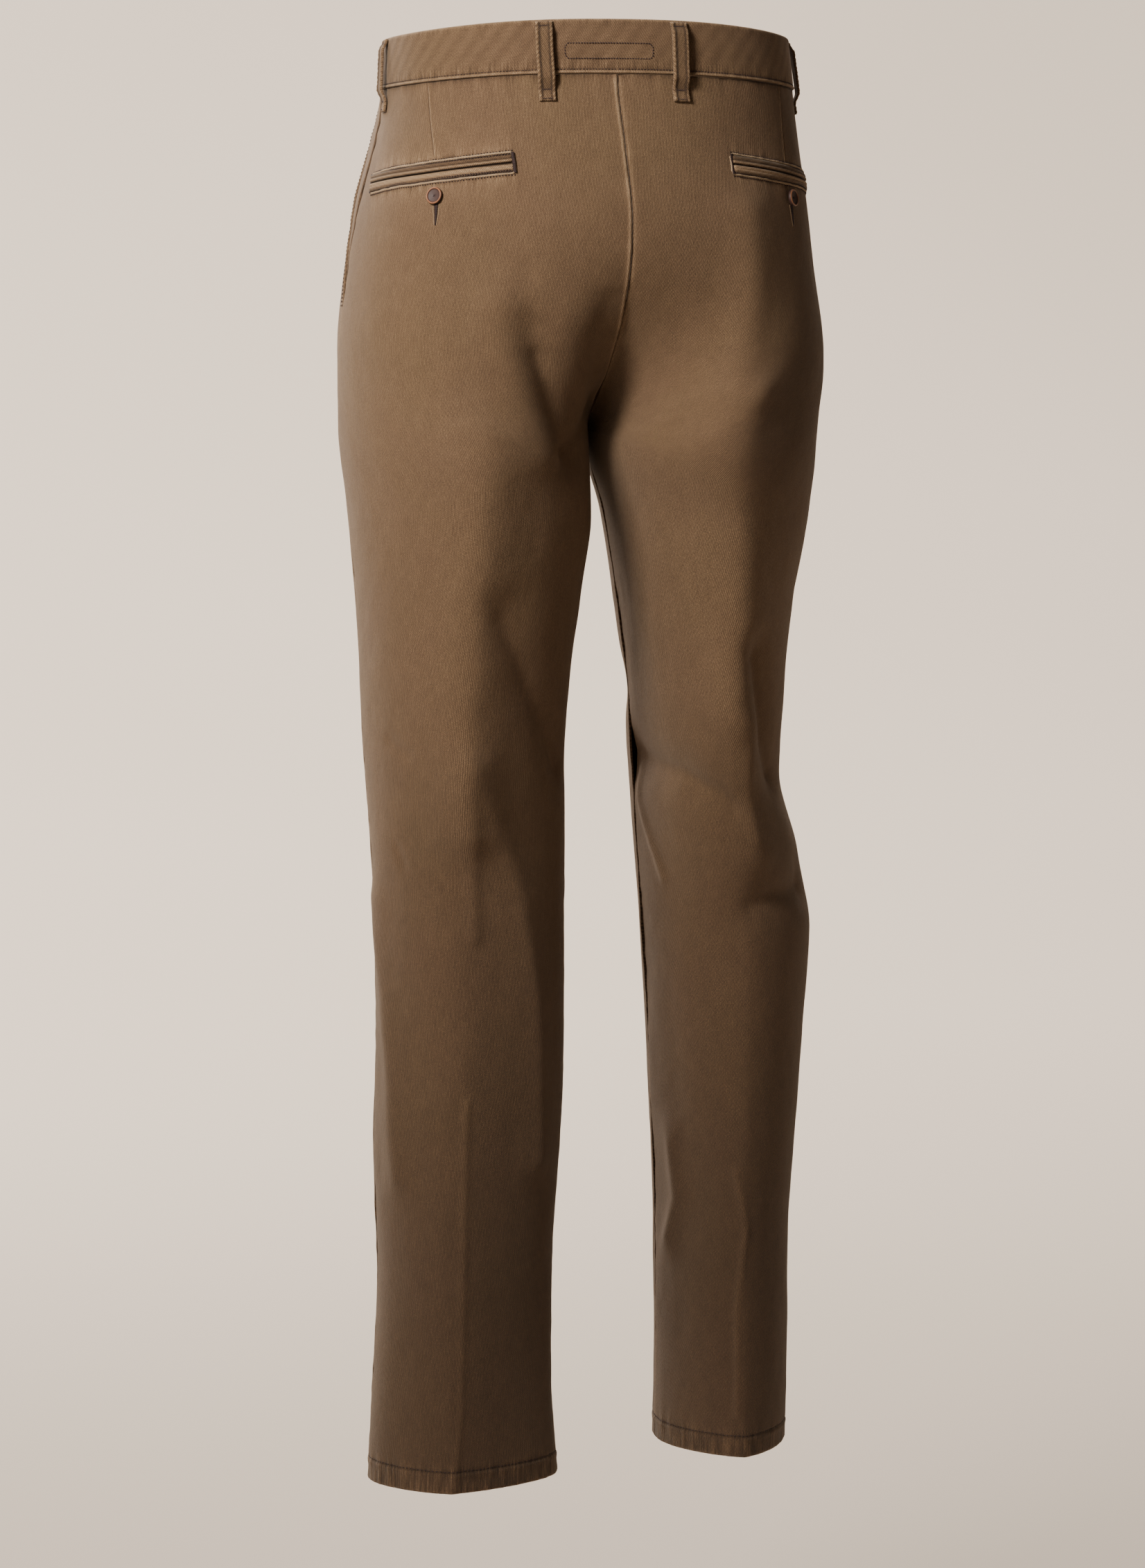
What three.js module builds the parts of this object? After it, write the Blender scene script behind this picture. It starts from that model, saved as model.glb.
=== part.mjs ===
// Men's chino trousers in the hollow form they take when worn, one leg a step ahead of the other.
// Millimetres, +Z up, +Y behind the wearer, +X to the wearer's left.
// The origin is the middle of the waist opening, level with its sides.
import * as THREE from 'three';

// Cloth and seams
const CLOTH = 1.6;
const SEAM_GAP = 0.3;
const HALF_GAP = SEAM_GAP / 2;
const LAY_GAP = 0.6;           // under what lies on a curved panel
const HEM_DEPTH = 16;

// Waist
const BAND_HEIGHT = 36;
const BAND_STANDS_OUT = 1.2;
const BAND_THICKNESS = CLOTH + BAND_STANDS_OUT;
const BAND_UNDERLAP = 38;
const BAND_OVERLAP = 5;
const BAND_STEP_LENGTH = 18;
const WAIST_BACK_RISE = 9;
const WAIST_FRONT_DROP = 8;
const WAIST_RISE_FADE = 120;
const PANEL_TOP = -BAND_HEIGHT - SEAM_GAP;

// The fork, where the four panels meet between the legs
const SEAT_CURVE_TOP = -120;
const FORK = -280;
const FORK_ROW_AT_SIDE = -350;
const ROWS_LEVEL_BELOW = -520;
const TRUNK_ROUNDNESS = 2.35;
const HEM = { left: -1049, right: -1055 };

// Belt loops
const LOOP_WIDTH = 12;
const LOOP_THICKNESS = 2;
const LOOP_GAP = 3.4;
const LOOP_ROWS = [-1.5, -4.5, -7.5, -10.5, -24, -36, -39, -42, -45, -47, -53];
const LOOP_ARCH = { top: -2.5, openBelow: -9.5, openAbove: -37, bottom: -46 };
// Section of a loop: share of its width from its middle, and share of its thickness.
const LOOP_PROFILE = [[-0.5, 0.6], [-0.4, 1], [-0.22, 0.75], [0.22, 0.75], [0.4, 1], [0.5, 0.6]];
const LOOPS = [
  { name: 'belt_loop_back', half: 'back', fromCentre: { left: 50, right: 45 } },
  { name: 'belt_loop_side', half: 'back', fromCentre: { left: 203, right: 203 } },
  { name: 'belt_loop_front', half: 'front', fromCentre: { left: 78, right: 78 } },
];

// Back pockets, measured along the cloth from the centre back seam
const POCKET = {
  from: 80, to: 213, innerHeight: -92, outerHeight: -104, slit: 0.8, welt: 5.6, thickness: 1.5,
};
// Section of a welt: share of its width from the slit, and share of its thickness.
const WELT_PROFILE = [[0, 0.55], [0.25, 1], [0.7, 0.85], [1, 0.4]];
const POCKET_BUTTON = { fromCentre: 140, height: -114, radius: 6.2, thickness: 2.8 };

// Slanted front pockets and the fly, measured along the cloth
const SLANT = { width: 40, bottom: -192, tuck: 7, drop: CLOTH + SEAM_GAP, levelWithin: 8 };
const FLY = { width: 36, overlap: 5, bottom: -188, corner: 34, tip: 3, thickness: 1.2 };
const WAIST_BUTTON = { fromCentre: 12, height: -18, radius: 8, thickness: 3.2 };
const BUTTON = { backBevel: 1, edge: 0.7, rim: 2.4, dishDepth: 1, sides: 20 };

// Grid of one leg panel
const BACK_COLUMNS = 13;
const FRONT_COLUMNS = 11;
const SAMPLES = 96;
const ACROSS_STEP = 1e-3;      // for slopes, as a share of a row
const SQUARE_UP_WITHIN = 0.05; // share of a row where the wall turns to stand square to the centre seam

const COLOUR = { cloth: 0x7a6049, welt: 0x6b5340, button: 0x3a241b };

// Tables run from the waist down. Heights and lengths are in millimetres.
function table(names, rows) {
  const columns = {};
  names.split(' ').forEach((name, index) => {
    columns[name] = rows.map((row) => row[index]).reverse();
  });
  return columns;
}

// Half depth of the trunk at the centre seams, and how many degrees the hips turn as the right leg leads.
const TRUNK = table('height back front turn', [
  [12, 117, 112, 0],
  [-38, 119, 114, 1],
  [-80, 124, 115, 3],
  [-130, 132, 115, 4.5],
  [-180, 137, 114, 4.5],
  [-230, 137, 112, 4],
  [-290, 130, 108, 3],
  [-350, 122, 104, 3],
]);

// Side seam and inseam outward from the middle plane, middle of the leg from front to back, half depth
// behind and before it, how far the crease turns outward, and the section's roundness (2 is an ellipse,
// 1 comes to a point at the crease).
const LEG_COLUMNS = 'height outer inner middle back front turn round';
const LEG = {
  left: table(LEG_COLUMNS, [
    [12, 143, 0.2, -4, 112, 108, 0, 2],
    [-38, 147, 0.2, -4, 114, 110, 0, 2],
    [-80, 156.5, 0.2, -4, 116, 110, 0, 2],
    [-120, 168, 0.2, -4, 120, 110, 0, 2],
    [-160, 175, 0.2, -4, 126, 110, 0, 2],
    [-220, 181, 0.2, -4, 132, 108, 2, 2],
    [-280, 180, 0.2, -4, 128, 104, 5, 2],
    [-340, 174, -2.2, -1, 117, 101, 8, 1.95],
    [-400, 169, 6, 0, 108, 100, 10, 1.9],
    [-460, 165.5, 13, -1, 101, 97, 12, 1.85],
    [-522, 162, 16, -3, 94, 92, 14, 1.8],
    [-583, 157, 15, -4, 84, 84, 15, 1.75],
    [-644, 154, 16, -3, 80, 79, 15, 1.7],
    [-737, 155, 17, -1, 77, 75, 15, 1.6],
    [-798, 157, 19, 0, 74, 72, 15, 1.55],
    [-891, 155, 25, 2, 70, 67, 15, 1.5],
    [-984, 159.6, 26.4, 4, 64, 62, 16, 1.4],
    [-1049, 163.5, 22.5, 5, 61, 60, 17, 1.25],
  ]),
  right: table(LEG_COLUMNS, [
    [12, 143, 0.2, -4, 112, 108, 0, 2],
    [-38, 149, 0.2, -4, 114, 110, 0, 2],
    [-80, 154, 0.2, -4, 116, 110, 0, 2],
    [-120, 160, 0.2, -4, 120, 110, 0, 2],
    [-160, 165, 0.2, -4, 126, 110, 0, 2],
    [-220, 173, 0.2, -4, 130, 108, 0, 2],
    [-280, 169, 0.2, -4, 125, 106, 0, 2],
    [-342, 165.5, 16.5, -17, 117, 106, 0, 1.95],
    [-404, 158, 29, -32, 115, 108, 0, 1.9],
    [-467, 154.8, 39.2, -46, 114, 108, 0, 1.85],
    [-531, 154.6, 45.4, -58, 108, 104, 0, 1.8],
    [-595, 172, 52, -70, 97, 94, 0, 1.75],
    [-659, 184, 58, -78, 88, 86, 0, 1.7],
    [-723, 181, 63, -83, 86, 84, 0, 1.6],
    [-788, 177.4, 66.6, -88, 84, 82, 1, 1.55],
    [-886, 172.5, 71.5, -96, 81, 79, 2, 1.5],
    [-985, 174, 74, -104, 79, 77, 3, 1.4],
    [-1055, 173, 73.5, -108, 79, 77, 4, 1.3],
  ]),
};

// The largest folds. Each runs through points given as the share of the way across the panel from its
// inner seam and the height; a positive rise is a ridge and a negative one a trough.
const FOLD_SPAN = 220;
const FOLDS = {
  left_back: [
    { through: [[0.25, -205], [0.27, -267], [0.25, -297]], width: 14, rise: -4 },
    { through: [[0.24, -297], [0.13, -272], [0.05, -258]], width: 13, rise: -3 },
    { through: [[0.35, -190], [0.36, -245], [0.35, -292]], width: 17, rise: 4 },
    { through: [[0.12, -205], [0.14, -238]], width: 24, rise: 4 },
    { through: [[0.5, -285], [0.53, -332], [0.54, -412], [0.55, -507], [0.56, -563]], width: 22, rise: 8 },
    { through: [[0.47, -405], [0.34, -464], [0.17, -520]], width: 16, rise: -4 },
    { through: [[0.54, -520], [0.38, -615], [0.31, -700], [0.28, -807]], width: 18, rise: 4 },
    { through: [[0.95, -622], [0.89, -691], [0.81, -819]], width: 16, rise: 3 },
  ],
  right_back: [
    { through: [[0.34, -125], [0.38, -185], [0.43, -240]], width: 24, rise: 4 },
    { through: [[0.48, -262], [0.51, -316], [0.53, -417], [0.51, -480]], width: 22, rise: 8 },
    { through: [[0.06, -523], [0.28, -532], [0.5, -554]], width: 20, rise: -6 },
    { through: [[0.58, -440], [0.68, -505], [0.75, -533]], width: 16, rise: -6 },
    { through: [[0.56, -500], [0.57, -590]], width: 16, rise: 4 },
    { through: [[0.52, -632], [0.64, -625], [0.81, -620]], width: 18, rise: -4 },
    { through: [[0.17, -810], [0.2, -859], [0.14, -895]], width: 14, rise: 3 },
  ],
  left_front: [
    { through: [[0.08, -285], [0.3, -262], [0.5, -250]], width: 15, rise: -4 },
    { through: [[0.15, -560], [0.45, -590], [0.8, -575]], width: 18, rise: -4 },
    { through: [[0.2, -640], [0.5, -655], [0.75, -640]], width: 18, rise: -3 },
  ],
  right_front: [
    { through: [[0.08, -288], [0.32, -270], [0.55, -262]], width: 15, rise: -5 },
    { through: [[0.1, -470], [0.45, -500], [0.85, -480]], width: 20, rise: -4 },
    { through: [[0.2, -660], [0.5, -690], [0.85, -670]], width: 18, rise: -4 },
  ],
};

const SIGN = { left: 1, right: -1 };

function clamp(value, low, high) {
  return Math.min(Math.max(value, low), high);
}

// Runs from 0 at low to 1 at high with soft ends.
function ease(low, high, value) {
  const share = clamp((value - low) / (high - low), 0, 1);
  return share * share * (3 - 2 * share);
}

// Slope of a smooth curve at one of its knots, flat wherever the column turns back.
function knotSlope(heights, values, index) {
  const last = heights.length - 1;
  const slope = (i) => (values[i + 1] - values[i]) / (heights[i + 1] - heights[i]);
  if (index === 0) return slope(0);
  if (index === last) return slope(last - 1);
  const below = slope(index - 1);
  const above = slope(index);
  return below * above <= 0 ? 0 : (2 * below * above) / (below + above);
}

// Value of one column at a height, along a cubic through its rows.
function read(columns, name, height) {
  const heights = columns.height;
  const values = columns[name];
  const place = clamp(height, heights[0], heights[heights.length - 1]);
  let index = 0;
  while (index < heights.length - 2 && heights[index + 1] <= place) index += 1;
  const span = heights[index + 1] - heights[index];
  const u = (place - heights[index]) / span;
  const start = knotSlope(heights, values, index) * span;
  const end = knotSlope(heights, values, index + 1) * span;
  return (2 * u ** 3 - 3 * u ** 2 + 1) * values[index] + (u ** 3 - 2 * u ** 2 + u) * start
    + (3 * u ** 2 - 2 * u ** 3) * values[index + 1] + (u ** 3 - u ** 2) * end;
}

// How far the folds of one panel lift its surface at a point.
function foldRise(side, half, across, height) {
  let rise = 0;
  for (const fold of FOLDS[`${side}_${half}`]) {
    let nearest = Infinity;
    for (let i = 0; i + 1 < fold.through.length; i += 1) {
      const [startAcross, startHeight] = fold.through[i];
      const runAcross = (fold.through[i + 1][0] - startAcross) * FOLD_SPAN;
      const runHeight = fold.through[i + 1][1] - startHeight;
      const toAcross = (across - startAcross) * FOLD_SPAN;
      const toHeight = height - startHeight;
      const run = runAcross ** 2 + runHeight ** 2;
      const share = clamp((toAcross * runAcross + toHeight * runHeight) / run, 0, 1);
      nearest = Math.min(nearest, Math.hypot(toAcross - share * runAcross, toHeight - share * runHeight));
    }
    rise += fold.rise * Math.exp(-((nearest / fold.width) ** 2));
  }
  return rise;
}

// Smooth outside of the cloth. Across runs from the inner seam (0) to the side seam (1); row is the
// height at the side seam of the row that the point lies on.
function smoothPoint(side, half, across, row) {
  const facing = half === 'back' ? 1 : -1;
  const leg = LEG[side];
  const turning = clamp((SEAT_CURVE_TOP - row) / (SEAT_CURVE_TOP - FORK_ROW_AT_SIDE), 0, 1) * (Math.PI / 2);
  const legShare = Math.sin(turning) ** 2;
  let seamHeight = row;
  if (row <= FORK_ROW_AT_SIDE) {
    seamHeight = row + (FORK - FORK_ROW_AT_SIDE) * (1 - ease(FORK_ROW_AT_SIDE, ROWS_LEVEL_BELOW, row));
  } else if (row < SEAT_CURVE_TOP) {
    seamHeight = SEAT_CURVE_TOP + (FORK - SEAT_CURVE_TOP) * Math.sin(turning);
  }
  const quarter = across * (Math.PI / 2);
  const centreRise = (half === 'back' ? WAIST_BACK_RISE : -WAIST_FRONT_DROP) * Math.cos(quarter) ** 2;
  const waistRise = centreRise * ease(-WAIST_RISE_FADE, 0, row);
  const z = seamHeight + (row - seamHeight) * ease(0, 1, across) + waistRise;

  const outer = read(leg, 'outer', z);
  const inner = read(leg, 'inner', z);
  const power = 2 / TRUNK_ROUNDNESS;
  const trunkX = outer * Math.sin(quarter) ** power;
  const trunkY = facing * read(TRUNK, half, z) * Math.cos(quarter) ** power;
  const spin = THREE.MathUtils.degToRad(read(TRUNK, 'turn', z)) * SIGN[side];
  const turnedX = trunkX * Math.cos(spin) - trunkY * Math.sin(spin);
  const turnedY = trunkX * Math.sin(spin) + trunkY * Math.cos(spin);

  const middleX = (outer + inner) / 2;
  const crease = middleX + facing * read(leg, 'turn', z);
  const legX = middleX - ((outer - inner) / 2) * Math.cos(Math.PI * across);
  const away = legX < crease ? (crease - legX) / (crease - inner) : (legX - crease) / (outer - crease);
  const bulge = Math.sqrt(Math.max(0, 1 - Math.min(away, 1) ** read(leg, 'round', z)));
  const legY = read(leg, 'middle', z) + facing * read(leg, half, z) * bulge;

  const x = SIGN[side] * ((1 - legShare) * turnedX + legShare * legX);
  const y = (1 - legShare) * turnedY + legShare * legY;
  return new THREE.Vector3(x, y, z);
}

// Point of the folded cloth and the way out of it, moved out by a lift.
function onCloth(side, half, across, row, lift = 0) {
  const point = smoothPoint(side, half, across, row);
  const alongRow = smoothPoint(side, half, Math.min(across + ACROSS_STEP, 1), row)
    .sub(smoothPoint(side, half, Math.max(across - ACROSS_STEP, 0), row));
  const down = smoothPoint(side, half, across, row - 1).sub(smoothPoint(side, half, across, row + 1));
  const out = alongRow.cross(down).normalize();
  if ((half === 'back') !== (side === 'left')) out.negate();
  if (row > SEAT_CURVE_TOP && across < SQUARE_UP_WITHIN) {
    // At the centre seams the wall goes straight in, so that the two sides stay apart.
    const spin = THREE.MathUtils.degToRad(read(TRUNK, 'turn', point.z));
    const straight = new THREE.Vector3(-Math.sin(spin), Math.cos(spin), out.z);
    if (half === 'front') straight.set(Math.sin(spin), -Math.cos(spin), out.z);
    out.lerp(straight, 1 - across / SQUARE_UP_WITHIN).normalize();
  }
  const rise = foldRise(side, half, across, point.z);
  return { point: point.addScaledVector(out, rise + lift), out };
}

// One row of a panel: its length along the cloth, and the place across at a distance from the inner seam.
const rowCache = new Map();
function rowOf(side, half, row) {
  const key = `${side} ${half} ${row}`;
  if (rowCache.has(key)) return rowCache.get(key);
  const lengths = [0];
  let last = smoothPoint(side, half, 0, row);
  for (let i = 1; i <= SAMPLES; i += 1) {
    const next = smoothPoint(side, half, i / SAMPLES, row);
    lengths.push(lengths[i - 1] + next.distanceTo(last));
    last = next;
  }
  const acrossAt = (distance) => {
    const goal = clamp(distance, 0, lengths[SAMPLES]);
    let i = 1;
    while (i < SAMPLES && lengths[i] < goal) i += 1;
    return (i - 1 + (goal - lengths[i - 1]) / (lengths[i] - lengths[i - 1])) / SAMPLES;
  };
  const result = { length: lengths[SAMPLES], acrossAt };
  rowCache.set(key, result);
  return result;
}

// Place on a row at a distance from the centre seam; a distance below 0 lies past it, on the other side.
function place(side, half, distance, row, lift = 0) {
  if (distance < 0) {
    const other = side === 'left' ? 'right' : 'left';
    return place(other, half, -distance, row, lift);
  }
  return onCloth(side, half, rowOf(side, half, row).acrossAt(distance), row, lift);
}

// Closed mesh from an outer and an inner grid of points, joined round their edges.
function closedShell(outer, inner) {
  const rows = outer.length;
  const columns = outer[0].length;
  const positions = [];
  for (const grid of [outer, inner]) {
    for (const line of grid) {
      for (const point of line) positions.push(point.x, point.y, point.z);
    }
  }
  const last = columns - 1;
  const outerAt = (i, j) => i * columns + j;
  const innerAt = (i, j) => rows * columns + i * columns + j;
  const index = [];
  const quad = (a, b, c, d) => index.push(a, b, c, a, c, d);
  for (let i = 0; i + 1 < rows; i += 1) {
    for (let j = 0; j < last; j += 1) {
      quad(outerAt(i, j), outerAt(i, j + 1), outerAt(i + 1, j + 1), outerAt(i + 1, j));
      quad(innerAt(i, j), innerAt(i + 1, j), innerAt(i + 1, j + 1), innerAt(i, j + 1));
    }
    quad(outerAt(i, 0), outerAt(i + 1, 0), innerAt(i + 1, 0), innerAt(i, 0));
    quad(outerAt(i + 1, last), outerAt(i, last), innerAt(i, last), innerAt(i + 1, last));
  }
  for (let j = 0; j < last; j += 1) {
    quad(outerAt(0, j + 1), outerAt(0, j), innerAt(0, j), innerAt(0, j + 1));
    quad(outerAt(rows - 1, j), outerAt(rows - 1, j + 1), innerAt(rows - 1, j + 1), innerAt(rows - 1, j));
  }
  const geometry = new THREE.BufferGeometry();
  geometry.setAttribute('position', new THREE.Float32BufferAttribute(positions, 3));
  geometry.setIndex(signedVolume(positions, index) < 0 ? turnedOver(index) : index);
  geometry.computeVertexNormals();
  return geometry;
}

function signedVolume(positions, index) {
  const corner = (i) => new THREE.Vector3().fromArray(positions, 3 * index[i]);
  let volume = 0;
  for (let i = 0; i < index.length; i += 3) volume += corner(i).dot(corner(i + 1).cross(corner(i + 2)));
  return volume / 6;
}

function turnedOver(index) {
  const turned = [];
  for (let i = 0; i < index.length; i += 3) turned.push(index[i], index[i + 2], index[i + 1]);
  return turned;
}

function spaced(start, end, count) {
  return Array.from({ length: count + 1 }, (_, i) => start + ((end - start) * i) / count);
}

// Rows of a leg panel, closer together round the fork and at the hem.
function panelRows(side) {
  const hemTop = HEM[side] + HEM_DEPTH;
  return [
    ...spaced(PANEL_TOP, SEAT_CURVE_TOP, 4),
    ...spaced(SEAT_CURVE_TOP, FORK_ROW_AT_SIDE, 12).slice(1),
    ...spaced(FORK_ROW_AT_SIDE, hemTop + 2, 20).slice(1),
    hemTop,
    HEM[side],
  ];
}

// Width at a row of the corner that the slanted front pocket takes out of the front panel.
function slantWidth(row) {
  return SLANT.width * clamp((row - SLANT.bottom) / (PANEL_TOP - SLANT.bottom), 0, 1);
}

function legPanel(side, half) {
  const columns = half === 'back' ? BACK_COLUMNS : FRONT_COLUMNS;
  const outer = [];
  const inner = [];
  for (const row of panelRows(side)) {
    const { length } = rowOf(side, half, row);
    const end = length - HALF_GAP - (half === 'front' ? slantWidth(row) : 0);
    const wall = row <= HEM[side] + HEM_DEPTH ? 2 * CLOTH : CLOTH;
    const line = [...spaced(HALF_GAP, end - SLANT.tuck - 1, columns - 1), end];
    outer.push(line.map((distance) => place(side, half, distance, row).point));
    inner.push(line.map((distance) => place(side, half, distance, row, -wall).point));
  }
  return closedShell(outer, inner);
}

// The cloth that shows in the slanted pocket: tucked under the front panel, level again at the side seam.
function pocketFacing(side) {
  const outer = [];
  const inner = [];
  const rows = panelRows(side).filter((row) => row > SLANT.bottom - 2 * SLANT.levelWithin);
  for (const row of rows) {
    const { length } = rowOf(side, 'front', row);
    const edge = length - Math.max(slantWidth(row), 1);
    const line = [edge - SLANT.tuck, ...spaced(edge, length - HALF_GAP, 4)];
    const sink = (distance) => -SLANT.drop * (1 - ease(1, SLANT.levelWithin, distance - edge));
    outer.push(line.map((distance) => place(side, 'front', distance, row, sink(distance)).point));
    inner.push(line.map((distance) => place(side, 'front', distance, row, sink(distance) - CLOTH).point));
  }
  return closedShell(outer, inner);
}

// The flap over the front opening, with a rounded lower corner.
function flyFront() {
  const outer = [];
  const inner = [];
  for (const row of spaced(PANEL_TOP, FLY.bottom, 12)) {
    const intoCorner = clamp((FLY.bottom + FLY.corner - row) / FLY.corner, 0, 1);
    const tip = FLY.tip - FLY.overlap;
    const line = spaced(-FLY.overlap, tip + (FLY.width - tip) * Math.sqrt(1 - intoCorner ** 2), 4);
    const at = (distance, lift) => place('left', 'front', distance, row, lift).point;
    outer.push(line.map((distance) => at(distance, LAY_GAP + FLY.thickness)));
    inner.push(line.map((distance) => at(distance, LAY_GAP)));
  }
  return closedShell(outer, inner);
}

// Stations round the waist, from the end that lies under to the end that laps over it at the front.
function bandStations() {
  const lengthOf = (side, half) => rowOf(side, half, 0).length;
  const underneath = -(BAND_THICKNESS + SEAM_GAP);
  const stepStart = BAND_OVERLAP + 1;
  const stepEnd = stepStart + BAND_STEP_LENGTH;
  const risesBack = (distance) => underneath * (1 - ease(stepStart, stepEnd, distance));
  const stations = [];
  const add = (side, half, distances, sink = () => 0) => {
    const length = lengthOf(side, half);
    for (const distance of distances) {
      stations.push({ side, half, share: distance / length, sink: sink(distance) });
    }
  };
  add('left', 'front', spaced(BAND_UNDERLAP, 0, 3), () => underneath);
  add('right', 'front', spaced(stepStart, stepEnd, 4), risesBack);
  add('right', 'front', spaced(stepEnd, lengthOf('right', 'front'), 10).slice(1));
  add('right', 'back', spaced(lengthOf('right', 'back'), 0, 14).slice(1));
  add('left', 'back', spaced(0, lengthOf('left', 'back'), 14).slice(1));
  add('left', 'front', spaced(lengthOf('left', 'front'), 0, 13).slice(1));
  add('right', 'front', [BAND_OVERLAP]);
  return stations;
}

function waistband() {
  const outer = [];
  const inner = [];
  for (const { side, half, share, sink } of bandStations()) {
    const line = spaced(0, -BAND_HEIGHT, 3);
    const at = (row, lift) => place(side, half, share * rowOf(side, half, row).length, row, lift).point;
    outer.push(line.map((row) => at(row, sink + BAND_STANDS_OUT)));
    inner.push(line.map((row) => at(row, sink - CLOTH)));
  }
  return closedShell(outer, inner);
}

// Clear height of a belt loop's underside over the cloth at a row.
function loopStandoff(row) {
  const overBand = BAND_STANDS_OUT + LAY_GAP;
  const open = BAND_STANDS_OUT + LOOP_GAP;
  const rises = ease(LOOP_ARCH.top, LOOP_ARCH.openBelow, row);
  const falls = ease(LOOP_ARCH.openAbove, LOOP_ARCH.bottom, row);
  return overBand + (open - overBand) * rises - (open - LAY_GAP) * falls;
}

// A belt loop: a strip with rolled edges, caught at the top of the band and on the panel below it.
function beltLoop(side, { half, fromCentre }) {
  const outer = [];
  const inner = [];
  for (const row of LOOP_ROWS) {
    const stand = loopStandoff(row);
    const at = (share, lift) => place(side, half, fromCentre[side] + share * LOOP_WIDTH, row, lift).point;
    outer.push(LOOP_PROFILE.map(([share, full]) => at(share, stand + full * LOOP_THICKNESS)));
    inner.push(LOOP_PROFILE.map(([share]) => at(share, stand)));
  }
  return closedShell(outer, inner);
}

// One of the two folded strips that line a back pocket's slit, lying on the panel.
function pocketWelt(side, level) {
  const outer = [];
  const inner = [];
  const direction = level === 'upper' ? 1 : -1;
  for (const distance of spaced(POCKET.from, POCKET.to, 14)) {
    const along = (distance - POCKET.from) / (POCKET.to - POCKET.from);
    const slitRow = POCKET.innerHeight + (POCKET.outerHeight - POCKET.innerHeight) * along;
    const rowFor = (share) => slitRow + direction * (POCKET.slit / 2 + share * POCKET.welt);
    const at = (share, lift) => place(side, 'back', distance, rowFor(share), lift).point;
    outer.push(WELT_PROFILE.map(([share, full]) => at(share, LAY_GAP + full * POCKET.thickness)));
    inner.push(WELT_PROFILE.map(([share]) => at(share, LAY_GAP)));
  }
  return closedShell(outer, inner);
}

// A dished button with a raised rim, its back at the origin and its face along +Y.
function buttonShape({ radius, thickness }) {
  const dish = thickness - BUTTON.dishDepth;
  const profile = [
    [0, 0],
    [radius - BUTTON.backBevel, 0],
    [radius, BUTTON.backBevel],
    [radius, thickness - BUTTON.edge],
    [radius - BUTTON.edge, thickness],
    [radius - 2 * BUTTON.edge, thickness],
    [radius - BUTTON.rim, dish],
    [0, dish],
  ];
  return new THREE.LatheGeometry(profile.map(([x, y]) => new THREE.Vector2(x, y)), BUTTON.sides);
}

const group = new THREE.Group();

function add(name, geometry, colour, roughness = 0.9) {
  const material = new THREE.MeshStandardMaterial({ color: colour, roughness, metalness: 0 });
  const mesh = new THREE.Mesh(geometry, material);
  mesh.name = name;
  group.add(mesh);
  return mesh;
}

// Seats a button with its face outward. The lift is the height of its back over the panel's cloth.
function addButton(name, size, side, half, lift) {
  const button = add(name, buttonShape(size), COLOUR.button, 0.35);
  const { point, out } = place(side, half, size.fromCentre, size.height, lift);
  button.position.copy(point);
  button.quaternion.setFromUnitVectors(new THREE.Vector3(0, 1, 0), out);
}

for (const side of ['left', 'right']) {
  add(`back_panel_${side}`, legPanel(side, 'back'), COLOUR.cloth);
  add(`front_panel_${side}`, legPanel(side, 'front'), COLOUR.cloth);
  add(`pocket_facing_${side}`, pocketFacing(side), COLOUR.cloth);
  for (const loop of LOOPS) add(`${loop.name}_${side}`, beltLoop(side, loop), COLOUR.welt);
  for (const level of ['upper', 'lower']) {
    add(`back_pocket_${side}_${level}_welt`, pocketWelt(side, level), COLOUR.welt);
  }
  addButton(`back_pocket_${side}_button`, POCKET_BUTTON, side, 'back', 2 * SEAM_GAP);
}
add('fly_front', flyFront(), COLOUR.cloth);
add('waistband', waistband(), COLOUR.cloth);
addButton('waist_button', WAIST_BUTTON, 'left', 'front', BAND_STANDS_OUT + 2 * SEAM_GAP);

export default group;
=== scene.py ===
import math

import bpy
import numpy as np
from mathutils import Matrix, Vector


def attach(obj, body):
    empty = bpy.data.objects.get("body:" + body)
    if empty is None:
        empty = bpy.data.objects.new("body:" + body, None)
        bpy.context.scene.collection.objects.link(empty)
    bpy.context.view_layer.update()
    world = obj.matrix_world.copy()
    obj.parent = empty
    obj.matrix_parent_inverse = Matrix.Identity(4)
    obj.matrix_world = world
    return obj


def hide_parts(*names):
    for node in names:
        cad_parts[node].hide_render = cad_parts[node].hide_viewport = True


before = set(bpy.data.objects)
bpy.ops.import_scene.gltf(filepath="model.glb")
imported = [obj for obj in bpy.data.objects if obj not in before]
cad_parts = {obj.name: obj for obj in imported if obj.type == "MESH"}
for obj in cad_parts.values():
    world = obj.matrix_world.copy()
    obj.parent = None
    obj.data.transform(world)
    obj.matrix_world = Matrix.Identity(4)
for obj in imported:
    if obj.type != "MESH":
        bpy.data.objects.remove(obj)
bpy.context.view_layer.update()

METRE = 0.001

# Cloth, seams and waist, as in the solids
CLOTH = 1.6
SEAM_GAP = 0.3
HALF_GAP = SEAM_GAP / 2
LAY_GAP = 0.6
HEM_DEPTH = 16
BAND_HEIGHT = 36
BAND_STANDS_OUT = 1.2
BAND_UNDERLAP = 38
BAND_OVERLAP = 5
BAND_STEP_LENGTH = 18
WAIST_BACK_RISE = 9
WAIST_FRONT_DROP = 8
WAIST_RISE_FADE = 120
PANEL_TOP = -BAND_HEIGHT - SEAM_GAP

# The fork, where the four panels meet between the legs
SEAT_CURVE_TOP = -120
FORK = -280
FORK_ROW_AT_SIDE = -350
ROWS_LEVEL_BELOW = -520
TRUNK_ROUNDNESS = 2.35
HEM = {"left": -1049, "right": -1055}

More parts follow.
